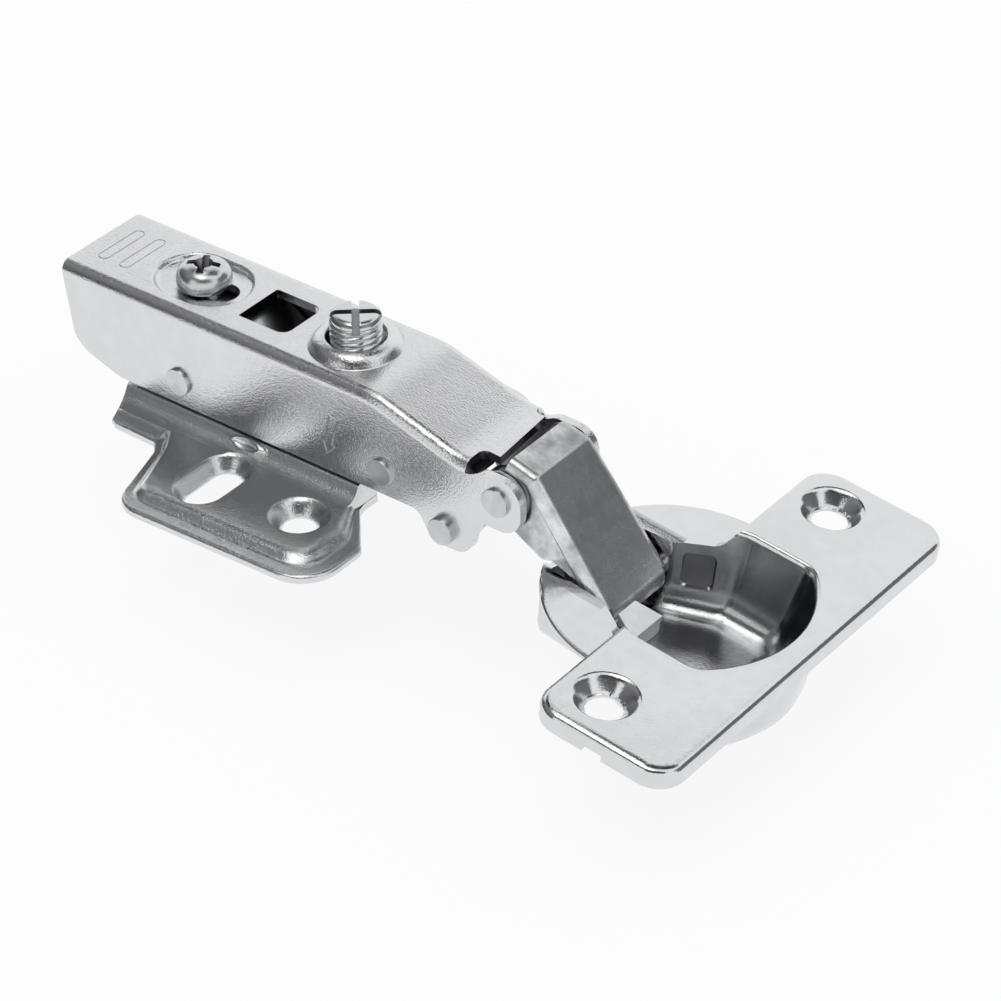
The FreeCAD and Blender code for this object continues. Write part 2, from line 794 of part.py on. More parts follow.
feature = pad(link, sketch, link_half)
feature = round_corners(link, feature, [(link_bend_x, link_bend_z)], 3.0)
sketch = new_sketch(link, "XZ_Plane")
inset_x = link_sheet * face_sin
inset_z = link_sheet * face_cos
polygon(sketch, [
    (outer_pivot_x - link_ear - 3, outer_pivot_z + link_top_rise - link_sheet),
    (top_x, outer_pivot_z + link_top_rise - link_sheet * 1.04),
    (link_bend_x - inset_x * 0.72, link_bend_z - inset_z * 1.4),
    (foot_x - inset_x, foot_z - inset_z),
    (foot_x - inset_x - 3, foot_z - inset_z - 3),
    (outer_pivot_x - link_ear - 3, foot_z - 4),
])
pocket(link, sketch, link_half - link_sheet)
# The band ends above the knuckle's full round
sketch = new_sketch(link, "XZ_Plane")
circle(sketch, knuckle_x, knuckle_z, knuckle_radius)
pad(link, sketch, knuckle_half)
sketch = new_sketch(link, "XZ_Plane")
circle(sketch, knuckle_x, knuckle_z, pin_radius - 0.2 + run_clearance)
pocket(link, sketch, link_half + 1)
sketch = new_sketch(link, "XZ_Plane")
circle(sketch, outer_pivot_x, outer_pivot_z, pin_radius + run_clearance)
pocket(link, sketch, link_half + 1)


def washer(label, side):
    body = new_body(label)
    sketch = new_sketch(body, "XZ_Plane", (0, 0, (link_half + side_clearance) * side))
    circle(sketch, outer_pivot_x, outer_pivot_z, washer_radius)
    circle(sketch, outer_pivot_x, outer_pivot_z, pin_radius + run_clearance)
    feature = pad_up(body, sketch, washer_thick)
    feature.Reversed = side < 0
    doc.recompute()
    return body


washer("link_washer_near", 1)
washer("link_washer_far", -1)

# Inner link: arched bar from the arm's rear rivets over to the cup's pin

eye_x = cup_x - inner_pin_x * tilt_cos - inner_pin_z * tilt_sin
eye_z = cup_z + inner_pin_x * tilt_sin - inner_pin_z * tilt_cos
inner = new_body("inner_link")
sketch = new_sketch(inner, "XZ_Plane")
polygon(sketch, [
    (inner_pivot_x - 0.6, inner_pivot_z + inner_eye - 0.15),
    (inner_pivot_x + 3.2, inner_pivot_z + 4.7),
    (inner_pivot_x + 6.2, inner_pivot_z + 5.7),
    (inner_pivot_x + 8.9, inner_pivot_z + 5.8),
    (eye_x - 6.6, eye_z + 7.6),
    (eye_x - 4.7, eye_z + 6.5),
    (eye_x - 3.75, eye_z + 4.6),
    (eye_x - 3.3, eye_z + 3.0),
    (eye_x - 2.2, eye_z + 1.95),
    (eye_x - 1.0, eye_z + 1.78),
    (eye_x, eye_z),
    (eye_x - 1.9, eye_z + 0.2),
    (eye_x - 3.0, eye_z + 1.6),
    (eye_x - 4.4, eye_z + 2.9),
    (eye_x - 5.6, eye_z + 4.2),
    (eye_x - 7.4, eye_z + 5.2),
    (inner_pivot_x + 7.0, inner_pivot_z + 2.6),
    (inner_pivot_x + 4.2, inner_pivot_z + 1.2),
    (inner_pivot_x + 2.2, inner_pivot_z - 0.8),
    (inner_pivot_x, inner_pivot_z),
])
pad(inner, sketch, inner_half)
sketch = new_sketch(inner, "XZ_Plane")
circle(sketch, inner_pivot_x, inner_pivot_z, inner_eye)
pad(inner, sketch, inner_half)
sketch = new_sketch(inner, "XZ_Plane")
circle(sketch, eye_x, eye_z, cup_eye)
pad(inner, sketch, inner_half)
sketch = new_sketch(inner, "XZ_Plane")
circle(sketch, eye_x, eye_z, inner_pin_radius + run_clearance)
pocket(inner, sketch, inner_half + 1)
sketch = new_sketch(inner, "XZ_Plane")
circle(sketch, inner_pivot_x, inner_pivot_z, pin_radius - 0.3 + run_clearance)
pocket(inner, sketch, inner_half + 1)

# Closing spring: leaf laid over the front cross pin

spring = new_body("closing_spring")
leaf_z = front_pin_z + cross_pin_radius + seat_gap
sketch = new_sketch(spring, "XZ_Plane")
polygon(sketch, [
    (front_pin_x - 1.4, leaf_z),
    (front_pin_x + 3.0, leaf_z),
    (front_pin_x + 6.0, leaf_z - 0.7),
    (front_pin_x + spring_reach, leaf_z - spring_fall),
    (front_pin_x + spring_reach + 0.4, leaf_z - spring_fall + spring_thick),
    (front_pin_x + 6.2, leaf_z - 0.7 + spring_thick),
    (front_pin_x + 3.1, leaf_z + spring_thick),
    (front_pin_x - 1.4, leaf_z + spring_thick),
])
pad(spring, sketch, spring_half)

# Cup with its long plate, built in its own frame and then tilted

cup_place = Placement(
    Vector(cup_x.value, 0, cup_z.value),
    Rotation(Vector(0, 1, 0), cup_tilt.value),
)


def rounded_box(low_x, high_x, half, corner, low_z, high_z):
    box = Part.makeBox(high_x - low_x, 2 * half, high_z - low_z, Vector(low_x, -half, low_z))
    upright = []
    for edge in box.Edges:
        if edge.BoundBox.ZLength > 1e-6 and edge.BoundBox.XLength < 1e-6:
            if edge.BoundBox.YLength < 1e-6:
                upright.append(edge)
    return box.makeFillet(corner, upright)


def pocket_plan(grow, half, level, arc_radius):
    # Throat on the arm's side, shoulders, and the cup's arc on the far side.
    centre = -rim_back.value
    side = half + grow
    reach = arc_radius + grow
    corner_x = centre + math.sqrt(reach ** 2 - side ** 2)
    throat = throat_half.value + grow
    throat_at = -throat_x.value
    left_reach = throat_reach.value + grow
    left = centre - math.sqrt(left_reach ** 2 - (throat - 0.6) ** 2)
    shoulder_at = -pocket_shoulder.value
    points = [
        Vector(left, -throat + 0.6, level),
        Vector(throat_at, -throat, level),
        Vector(shoulder_at, -side, level),
        Vector(corner_x, -side, level),
    ]
    upper = [Vector(p.x, -p.y, level) for p in reversed(points)]
    middle = Vector(centre + reach, 0, level)
    edges = [Part.LineSegment(points[i], points[i + 1]).toShape() for i in range(3)]
    edges.append(Part.Arc(points[3], middle, upper[0]).toShape())
    edges += [Part.LineSegment(upper[i], upper[i + 1]).toShape() for i in range(3)]
    edges.append(Part.Arc(upper[3], Vector(centre - left_reach, 0, level), points[0]).toShape())
    return Part.Wire(edges)


rim_level = -skirt_height.value
bottom_level = rim_level - cup_depth.value
floor_level = bottom_level + cup_wall.value
inner_radius = cup_radius.value - cup_wall.value
low_radius = inner_radius - 1.6
bend_level = bottom_level + cup_bottom_round.value
shrink = cup_bottom_round.value * 0.5

outer_wires = [
    pocket_plan(cup_wall.value, pocket_half.value, -0.01, inner_radius - 0.05),
    pocket_plan(cup_wall.value, pocket_floor_half.value, bend_level, low_radius),
]
wall_block = Part.makeLoft(outer_wires, True, True)
low_wires = [
    pocket_plan(cup_wall.value, pocket_floor_half.value, bend_level, low_radius),
    pocket_plan(cup_wall.value - shrink, pocket_floor_half.value, bottom_level, low_radius),
]
wall_block = wall_block.fuse(Part.makeLoft(low_wires, True, True))
rim_axis = Vector(-rim_back.value, 0, bottom_level - 1)
bowl = Part.makeCylinder(cup_radius.value, cup_depth.value + 1, rim_axis)
left_block = Part.makeBox(
    40, 80, 40,
    Vector(-plate_left.value - 40, -40, rim_level),
)
wall_block = wall_block.cut(left_block)
upper_right = wall_block.common(
    Part.makeBox(60, 80, 20, Vector(-plate_left.value, -40, rim_level - 1))
)
wall_block = wall_block.common(bowl).fuse(upper_right)

plate = rounded_box(
    -plate_left.value, plate_right.value, plate_half.value,
    plate_corner.value, rim_level, 0,
)
hollow = rounded_box(
    -plate_left.value + plate_sheet.value,
    plate_right.value - plate_sheet.value,
    plate_half.value - plate_sheet.value,
    plate_corner.value - plate_sheet.value,
    rim_level - 1,
    -plate_sheet.value,
)
plate = plate.cut(hollow)
flange = Part.makeCylinder(
    rim_radius.value, plate_sheet.value,
    Vector(-rim_back.value, 0, rim_level - plate_sheet.value),
)
cup_shape = plate.fuse(wall_block).fuse(flange)

boss_radius = cup_sink_radius.value + 0.6
for side in (1, -1):
    centre = Vector(0, side * cup_screw_pitch.value / 2, -cup_boss_depth.value)
    cup_shape = cup_shape.fuse(Part.makeCylinder(boss_radius, cup_boss_depth.value, centre))

inner_wires = [
    pocket_plan(0, pocket_half.value, 0.5, inner_radius),
    pocket_plan(0, pocket_floor_half.value, floor_level, low_radius),
]
cup_shape = cup_shape.cut(Part.makeLoft(inner_wires, True, True))
valley_axis = Vector(-throat_x.value, 0, rim_level - valley_depth.value + valley_radius.value)
valley = Part.makeCylinder(valley_radius.value, 20, valley_axis, Vector(-1, 0, 0))
cup_shape = cup_shape.cut(valley)
for side in (1, -1):
    sink_low = Vector(0, side * cup_screw_pitch.value / 2, -cup_boss_depth.value + 0.3)
    sink = Part.makeCone(
        cup_hole_radius.value, cup_sink_radius.value,
        cup_boss_depth.value - 0.3, sink_low,
    )
    drill = Part.makeCylinder(cup_hole_radius.value, 20, sink_low - Vector(0, 0, 10))
    cup_shape = cup_shape.cut(sink).cut(drill)

pin_reach = throat_half.value + cup_wall.value


def cup_pin(x, z, radius, half):
    start = Vector(-x, -half, -z)
    return Part.makeCylinder(radius, 2 * half, start, Vector(0, 1, 0))


outer_pin_radius = pin_radius.value - 0.2
outer_pin = cup_pin(outer_pin_x.value, outer_pin_z.value, outer_pin_radius, pin_reach)
inner_pin = cup_pin(
    inner_pin_x.value, inner_pin_z.value, inner_pin_radius.value, pin_reach - 0.3
)
cup_shape = cup_shape.cut(outer_pin).cut(inner_pin)

tab_low = tab_top.value + tab_depth.value
tab_outer = pocket_half.value - 0.15
tab_corners = [
    Vector(-tab_rear.value, -tab_outer, -tab_top.value),
    Vector(-tab_rear.value, -tab_end.value, -tab_top.value),
    Vector(-tab_rear.value, -tab_end.value, -tab_top.value - 0.5),
    Vector(-tab_rear.value, -tab_end.value - 0.4, -tab_top.value - 0.9),
    Vector(-tab_rear.value, -tab_end.value - 0.4, -tab_low),
    Vector(-tab_rear.value, -tab_outer, -tab_low),
]
tab_face = Part.Face(Part.makePolygon(tab_corners + [tab_corners[0]]))
tab_shape = tab_face.extrude(Vector(tab_width.value, 0, 0))
inner_block = Part.makeLoft(inner_wires, True, True)
tab_shape = tab_shape.common(inner_block)


def from_shape(label, shape, place=None):
    feature = doc.addObject("Part::Feature", "Shape_" + label)
    feature.Label = label
    if len(shape.Solids) == 1:
        shape = shape.Solids[0]
    feature.Shape = shape
    if place is not None:
        feature.Placement = place
    return feature


from_shape("hinge_cup", cup_shape.removeSplitter(), cup_place)
from_shape("cup_outer_pin", outer_pin, cup_place)
from_shape("cup_inner_pin", inner_pin, cup_place)
from_shape("cup_tab", tab_shape, cup_place)

# Mounting plate: one section along X, then trimmed to its outline

plate_body = new_body("mounting_plate")
rail_under = rail_top - wing_sheet
half_section = [
    (wing_half, as_size(0)),
    (wing_rim, wing_rim_top),
    (wing_flat, wing_top),
    (rail_foot, wing_top),
    (rail_half + 1.9, wing_top + 0.5),
    (rail_half + 0.3, wing_top + 1.5),
    (rail_half + 0.1, rail_top - 0.6),
    (rail_half - 0.5, rail_top),
]
inner_section = [
    (wing_half - wing_sheet, as_size(0)),
    (wing_flat - 0.3, wing_top - wing_sheet),
    (rail_foot - 0.4, wing_top - wing_sheet),
    (rail_half - wing_sheet + 1.5, wing_top - wing_sheet + 0.5),
    (rail_half - wing_sheet, wing_top + 0.6),
    (rail_half - wing_sheet, rail_under),
]
section = []
section += half_section
section += [(-a, b) for a, b in reversed(half_section)]
section += [(-a, b) for a, b in inner_section]
section += list(reversed(inner_section))
sketch = new_sketch(plate_body, "YZ_Plane")
polygon(sketch, section)
pad(plate_body, sketch, strip_rear + 5)
outline = [
    (rail_front, rail_half + 2.4),
    (rail_front + 0.8, wing_front_half - 2.5),
    (wing_front, wing_front_half),
    (wing_front, wing_half - wing_corner),
    (wing_front - wing_corner * 0.3, wing_half - wing_corner * 0.3),
    (wing_front - wing_corner, wing_half),
    (rear_corner - wing_rear, wing_half),
    (rear_corner * 0.3 - wing_rear, wing_half - rear_corner * 0.3),
    (-wing_rear, wing_half - rear_corner),
    (-wing_rear - 3.6, strip_half + 1.2),
    (-wing_rear - 5.4, strip_half),
    (-strip_rear, strip_half),
]
outline += [(a, -b) for a, b in reversed(outline)]
sketch = new_sketch(plate_body, "XY_Plane")
polygon(sketch, outline)
far = strip_rear + 20
rectangle(sketch, -far, -wing_half - 20, far, wing_half + 20)
pocket(plate_body, sketch, rail_top + 5)
boss_height = wing_top - wing_sheet * 0.8
for side in (1, -1):
    # The pressed holes reach down to the panel
    y = plate_screw_pitch * (0.5 * side)
    sketch = new_sketch(plate_body, "XY_Plane", (0, y, 0))
    circle(sketch, 0, 0, round_hole + hole_wall)
    pad_up(plate_body, sketch, boss_height)
    y = slot_pitch * (0.5 * side)
    straight = (slot_long - slot_wide) * 0.5
    boss_half = slot_wide * 0.5 + hole_wall
    sketch = new_sketch(plate_body, "XY_Plane", (-slot_x, y, 0))
    rectangle(sketch, -boss_half, -straight, boss_half, straight)
    pad_up(plate_body, sketch, boss_height)
    for end in (straight, -straight):
        sketch = new_sketch(plate_body, "XY_Plane", (-slot_x, y, 0))
        circle(sketch, 0, end, boss_half)
        pad_up(plate_body, sketch, boss_height)
for side in (1, -1):
    y = plate_screw_pitch * (0.5 * side)
    sketch = new_sketch(plate_body, "XY_Plane", (0, y, wing_top))
    circle(sketch, 0, 0, round_hole)
    pocket(plate_body, sketch, wing_top + 1)
    sketch = new_sketch(plate_body, "XY_Plane", (0, y, wing_top))
    circle(sketch, 0, 0, round_sink)
    pocket(plate_body, sketch, sink_depth)
    y = slot_pitch * (0.5 * side)
    for wide, length, depth in (
        (slot_wide, slot_long, wing_top + 1),
        (slot_sink_wide, slot_sink_long, sink_depth),
    ):
        straight = (length - wide) * 0.5
        sketch = new_sketch(plate_body, "XY_Plane", (-slot_x, y, wing_top))
        rectangle(sketch, -wide * 0.5, -straight, wide * 0.5, straight)
        pocket(plate_body, sketch, depth)
        for end in (straight, -straight):
            sketch = new_sketch(plate_body, "XY_Plane", (-slot_x, y, wing_top))
            circle(sketch, 0, end, wide * 0.5)
            pocket(plate_body, sketch, depth)

# Check, then write one file per piece

doc.recompute()
for item in doc.Objects:
    if "Invalid" in item.State or "Error" in item.State:
        raise ValueError("%s did not build: %s" % (item.Label, item.State))

pieces = [o for o in doc.Objects if o.TypeId in ("PartDesign::Body", "Part::Feature")]
os.makedirs("parts", exist_ok=True)
for piece in pieces:
    shape = piece.Shape
    if shape.isNull() or not shape.isValid():
        raise ValueError("%s has no valid shape" % piece.Label)
    if len(shape.Solids) != 1:
        raise ValueError("%s has %d solids" % (piece.Label, len(shape.Solids)))
for piece in pieces:
    piece.Shape.exportStep("parts/%s.step" % piece.Label)
    print(piece.Label, round(piece.Shape.Volume, 1))
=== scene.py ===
import math

import bmesh
import bpy
from mathutils import Matrix, Vector


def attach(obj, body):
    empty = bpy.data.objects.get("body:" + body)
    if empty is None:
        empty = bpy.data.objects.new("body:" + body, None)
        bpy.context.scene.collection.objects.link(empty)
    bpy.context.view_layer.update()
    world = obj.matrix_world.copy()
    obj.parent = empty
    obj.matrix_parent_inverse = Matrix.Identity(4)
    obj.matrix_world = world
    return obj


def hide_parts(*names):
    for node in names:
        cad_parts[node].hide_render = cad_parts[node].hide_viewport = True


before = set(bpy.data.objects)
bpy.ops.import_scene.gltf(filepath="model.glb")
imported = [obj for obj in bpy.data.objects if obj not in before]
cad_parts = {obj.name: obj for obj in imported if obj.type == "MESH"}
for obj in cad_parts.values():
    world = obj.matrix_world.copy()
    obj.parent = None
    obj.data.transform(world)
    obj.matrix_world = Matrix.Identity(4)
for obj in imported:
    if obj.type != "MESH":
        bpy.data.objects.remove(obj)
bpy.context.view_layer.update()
MM = 0.001
scene = bpy.context.scene


# Outlines and loops, in millimetres

def rounded(corners, steps=6):
    """Closed outline through corners (a, b, radius), each turned on its radius."""
    outline = []
    total = len(corners)
    for number, (a, b, radius) in enumerate(corners):
        corner = Vector((a, b))
        before = (Vector(corners[number - 1][:2]) - corner).normalized()
        after = (Vector(corners[(number + 1) % total][:2]) - corner).normalized()
        half = before.angle(after) / 2
        if radius <= 0:
            outline.append(corner)
            continue
        start = corner + before * (radius / math.tan(half))
        finish = corner + after * (radius / math.tan(half))
        centre = corner + (before + after).normalized() * (radius / math.sin(half))
        first = math.atan2(start.y - centre.y, start.x - centre.x)
        last = math.atan2(finish.y - centre.y, finish.x - centre.x)
        turn = (last - first + math.pi) % math.tau - math.pi
        for step in range(steps + 1):
            angle = first + turn * step / steps
            outline.append(centre + Vector((math.cos(angle), math.sin(angle))) * radius)
    return outline


def stadium(middle, half, radius, along_y=False, steps=16):
    """Outline of a slot with round ends; half is the half length between their centres."""
    outline = []
    for side in (1, -1):
        for step in range(steps + 1):
            angle = math.pi * (step / steps - 0.5) + (math.pi if side < 0 else 0)
            a = side * half + radius * math.cos(angle)
            b = radius * math.sin(angle)
            if along_y:
                a, b = -b, a
            outline.append(Vector((middle[0] + a, middle[1] + b)))
    return outline


def ring(radius, count=72):
    return [Vector((radius * math.cos(math.tau * k / count),
                    radius * math.sin(math.tau * k / count))) for k in range(count)]


# Solids

def new_piece(name, points, faces):
    mesh = bpy.data.meshes.new(name)
    mesh.from_pydata([tuple(p) for p in points], [], faces)
    work = bmesh.new()
    work.from_mesh(mesh)
    bmesh.ops.recalc_face_normals(work, faces=work.faces)
    work.to_mesh(mesh)
    work.free()
    piece = bpy.data.objects.new(name, mesh)
    scene.collection.objects.link(piece)
    return piece


def stack(name, loops):
    """Closed solid through loops of equal length, with the first and last capped."""
    count = len(loops[0])
    points = [p for loop in loops for p in loop]
    faces = [list(range(count))]
    for level in range(len(loops) - 1):
        low = level * count
        for k in range(count):
            nxt = (k + 1) % count
            faces.append((low + k, low + nxt, low + count + nxt, low + count + k))
    faces.append([(len(loops) - 1) * count + k for k in range(count)])
    return new_piece(name, points, faces)


def levels(name, sections):
    """Solid through flat outlines, each given with its height."""
    return stack(name, [[Vector((p.x, p.y, z)) for p in outline] for outline, z in sections])


def side_plate(name, outline, low, high):
    """Plate with a side view outline (X, Z), from y = low to y = high."""
    return stack(name, [[Vector((p.x, y, p.y)) for p in outline] for y in (low, high)])


def turned(name, profile, centre=(0, 0, 0), across=False, count=72):
    """Turned part from a profile of (radius, height); across lays its axis along Y."""
    loops = []
    for radius, height in profile:
        loop = []
        for p in ring(max(radius, 0.001), count):
            spot = Vector((p.x, height, p.y)) if across else Vector((p.x, p.y, height))
            loop.append(spot + Vector(centre))
        loops.append(loop)
    return stack(name, loops)


def egg(name, centre, radii):
    """Ellipsoid used to press or lance a sheet."""
    profile = [(math.sin(math.pi * k / 16), -math.cos(math.pi * k / 16)) for k in range(17)]
    piece = turned(name, profile, count=32)
    piece.data.transform(Matrix.Translation(centre) @ Matrix.Diagonal((*radii, 1)))
    return piece


def block(name, low, high):
    outline = [Vector((low[0], low[1])), Vector((high[0], low[1])),
               Vector((high[0], high[1])), Vector((low[0], high[1]))]
    return levels(name, [(outline, low[2]), (outline, high[2])])


def combine(piece, tools, operation):
    for tool in tools:
        step = piece.modifiers.new("combine", "BOOLEAN")
        step.object = tool
        step.operation = operation
        step.solver = "EXACT"
        bpy.context.view_layer.update()
        graph = bpy.context.evaluated_depsgraph_get()
        mesh = bpy.data.meshes.new_from_object(piece.evaluated_get(graph))
        piece.modifiers.clear()
        piece.data = mesh
        bpy.data.objects.remove(tool)
    return piece


def cut(piece, *tools):
    return combine(piece, tools, "DIFFERENCE")


def weld(piece, *tools):
    return combine(piece, tools, "UNION")


def round_chain(piece, chosen, radius, segments):
    """Rounds the chosen edges of a piece, as a press brake rounds a fold."""
    work = bmesh.new()
    work.from_mesh(piece.data)
    edges = [e for e in work.edges if chosen(e.verts[0].co, e.verts[1].co)]
    bmesh.ops.bevel(work, geom=edges, offset=radius, segments=segments,
                    profile=0.5, affect="EDGES", clamp_overlap=False)
    work.to_mesh(piece.data)
    work.free()
    return piece


def lay_on(piece, *details):
    """Adds small closed details to a piece's own mesh."""
    work = bmesh.new()
    work.from_mesh(piece.data)
    for detail in details:
        work.from_mesh(detail.data)
        bpy.data.objects.remove(detail)
    work.to_mesh(piece.data)
    work.free()
    return piece


def pressed_line(name, spots, radius):
    """Fine raised line, closed, through three dimensional spots, six sided in section."""
    sides = 6
    total = len(spots)
    points = []
    for number, spot in enumerate(spots):
        along = (spots[(number + 1) % total] - spots[number - 1]).normalized()
        side = along.cross(Vector((0.31, 0.45, 0.84))).normalized()
        lift = along.cross(side)
        for k in range(sides):
            angle = math.tau * k / sides
            points.append(spot + (side * math.cos(angle) + lift * math.sin(angle)) * radius)
    faces = []
    for level in range(total):
        low = level * sides
        high = (level + 1) % total * sides
        for k in range(sides):
            nxt = (k + 1) % sides
            faces.append((low + k, low + nxt, high + nxt, high + k))
    return new_piece(name, points, faces)


def finished(piece, body, material, soft=0.2, segments=3, sharp=28, replaced=(),
             recess=()):
    """Softens the piece's edges, brings it to metres and hands it to the frame.

    The further materials paint shade: each is a darker material, given with a test of a face's
    centre and normal that picks the faces it covers."""
    work = bmesh.new()
    work.from_mesh(piece.data)
    bmesh.ops.remove_doubles(work, verts=work.verts, dist=0.012)
    bmesh.ops.dissolve_limit(work, angle_limit=math.radians(0.6), verts=work.verts,
                             edges=work.edges)
    work.to_mesh(piece.data)
    work.free()
    if soft:
        edge = piece.modifiers.new("edge", "BEVEL")
        edge.width = soft
        edge.segments = segments
        edge.limit_method = "ANGLE"
        edge.angle_limit = math.radians(sharp)
        edge.use_clamp_overlap = True
        edge.miter_outer = "MITER_ARC"
        bpy.context.view_layer.update()
        graph = bpy.context.evaluated_depsgraph_get()
        mesh = bpy.data.meshes.new_from_object(piece.evaluated_get(graph))
        piece.modifiers.clear()
        piece.data = mesh
    mesh = piece.data
    mesh.transform(Matrix.Scale(MM, 4))
    for face in mesh.polygons:
        face.use_smooth = True
    mesh.set_sharp_from_angle(angle=math.radians(38))
    level = piece.modifiers.new("level", "WEIGHTED_NORMAL")
    level.keep_sharp = True
    level.weight = 90
    mesh.materials.clear()
    mesh.materials.append(material)
    # Faces picked by each test take the darker material: painted shade.
    for number, (second, test) in enumerate(recess):
        mesh.materials.append(second)
        for face in mesh.polygons:
            if test(face.center / MM, face.normal):
                face.material_index = number + 1
    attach(piece, body)
    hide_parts(*(replaced or [piece.name.replace("_dressed", "")]))
    return piece


def dressed(node, body, material, soft=0.15):
    """The frame's own solid with its edges softened."""
    work = bmesh.new()
    work.from_mesh(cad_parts[node].data)
    bmesh.ops.scale(work, vec=(1 / MM,) * 3, verts=work.verts)
    bmesh.ops.remove_doubles(work, verts=work.verts, dist=0.004)
    mesh = bpy.data.meshes.new(node + "_dressed")
    work.to_mesh(mesh)
    work.free()
    piece = bpy.data.objects.new(node + "_dressed", mesh)
    scene.collection.objects.link(piece)
    return finished(piece, body, material, soft)


# Shared finishes

def group(name, inputs, outputs):
    tree = bpy.data.node_groups.new(name, "ShaderNodeTree")
    for label, value in inputs:
        socket = tree.interface.new_socket(label, in_out="INPUT", socket_type="NodeSocketFloat")
        socket.default_value = value
    for label in outputs:
        tree.interface.new_socket(label, in_out="OUTPUT", socket_type="NodeSocketFloat")
    return tree, tree.nodes.new("NodeGroupInput"), tree.nodes.new("NodeGroupOutput")


def noise(tree, place, scale, detail=3.0, rough=0.5):
    node = tree.nodes.new("ShaderNodeTexNoise")
    node.inputs["Scale"].default_value = scale
    node.inputs["Detail"].default_value = detail
    node.inputs["Roughness"].default_value = rough
    tree.links.new(place, node.inputs["Vector"])
    return node.outputs["Fac"]


def maths(tree, operation, first, second=None, third=None, clamp=False):
    node = tree.nodes.new("ShaderNodeMath")
    node.operation = operation
    node.use_clamp = clamp
    for socket, value in zip(node.inputs, (first, second, third)):
        if value is None:
            continue
        if isinstance(value, (int, float)):
            socket.default_value = value
        else:
            tree.links.new(value, socket)
    return node.outputs[0]


def ramp(tree, value, low, high):
    node = tree.nodes.new("ShaderNodeMapRange")
    node.interpolation_type = "SMOOTHSTEP"
    tree.links.new(value, node.inputs["Value"])
    node.inputs["From Min"].default_value = low
    node.inputs["From Max"].default_value = high
    return node.outputs["Result"]


def object_place(tree, stretch=(1, 1, 1)):
    spot = tree.nodes.new("ShaderNodeTexCoord")
    turn = tree.nodes.new("ShaderNodeMapping")
    turn.inputs["Scale"].default_value = stretch
    tree.links.new(spot.outputs["Object"], turn.inputs["Vector"])
    return turn.outputs["Vector"]


def plating_grain():
    """Orange peel and fine speckle of a plated sheet."""
    tree, given, out = group("plating_grain", [("Speckle", 0.5), ("Peel", 0.5)], ["Height"])
    place = object_place(tree)
    fine = noise(tree, place, 4200, 2.0, 0.6)
    peel = noise(tree, place, 1100, 2.0)
    speckle = maths(tree, "MULTIPLY", fine, given.outputs["Speckle"])
    total = maths(tree, "MULTIPLY_ADD", peel, given.outputs["Peel"], speckle)
    tree.links.new(total, out.inputs["Height"])
    return tree


def handling_haze():
    """Patches where handling and rolling left the plating duller."""
    tree, given, out = group("handling_haze", [("Amount", 0.5)], ["Haze"])
    place = object_place(tree)
    wide = noise(tree, place, 60, 4.0, 0.6)
    close = noise(tree, place, 420, 3.0, 0.6)
    mixed = maths(tree, "MULTIPLY_ADD", close, 0.4, maths(tree, "MULTIPLY", wide, 0.6))
    haze = ramp(tree, mixed, 0.38, 0.64)
    tree.links.new(maths(tree, "MULTIPLY", haze, given.outputs["Amount"]), out.inputs["Haze"])
    return tree


def rolling_streaks():
    """Fine lines along X left by the rolled strip."""
    tree, given, out = group("rolling_streaks", [("Amount", 0.5)], ["Streak"])
    place = object_place(tree, (60, 2600, 2600))
    line = noise(tree, place, 1.0, 2.0)
    tree.links.new(maths(tree, "MULTIPLY", line, given.outputs["Amount"]),
                   out.inputs["Streak"])
    return tree


grain_group = plating_grain()
haze_group = handling_haze()
streak_group = rolling_streaks()


def shared(tree, source, **values):
    node = tree.nodes.new("ShaderNodeGroup")
    node.node_tree = source
    for label, value in values.items():
        node.inputs[label].default_value = value
    return node


def plated_metal(name, bright, dull, gloss, rough, speckle=0.4, peel=0.4, haze=0.5,
                 streak=0.2, relief=0.00002):
    """Bare or plated metal: two tones, a range of gloss and a fine relief."""
    material = bpy.data.materials.new(name)
    material.use_nodes = True
    tree = material.node_tree
    surface = tree.nodes["Principled BSDF"]
    surface.inputs["Metallic"].default_value = 1.0
    marks = shared(tree, haze_group, Amount=haze)
    tone = tree.nodes.new("ShaderNodeMix")
    tone.data_type = "RGBA"
    tone.inputs["A"].default_value = (*bright, 1)
    tone.inputs["B"].default_value = (*dull, 1)
    tree.links.new(marks.outputs["Haze"], tone.inputs["Factor"])
    tree.links.new(tone.outputs["Result"], surface.inputs["Base Color"])
    lines = shared(tree, streak_group, Amount=streak)
    wear = maths(tree, "MULTIPLY_ADD", marks.outputs["Haze"], rough - gloss, gloss)
    wear = maths(tree, "MULTIPLY_ADD", lines.outputs["Streak"], 0.1, wear, clamp=True)
    tree.links.new(wear, surface.inputs["Roughness"])
    grain = shared(tree, grain_group, Speckle=speckle, Peel=peel)
    height = maths(tree, "ADD", grain.outputs["Height"], lines.outputs["Streak"])
    bump = tree.nodes.new("ShaderNodeBump")
    bump.inputs["Distance"].default_value = relief
    bump.inputs["Strength"].default_value = 1.0
    tree.links.new(height, bump.inputs["Height"])
    tree.links.new(bump.outputs["Normal"], surface.inputs["Normal"])
    return material


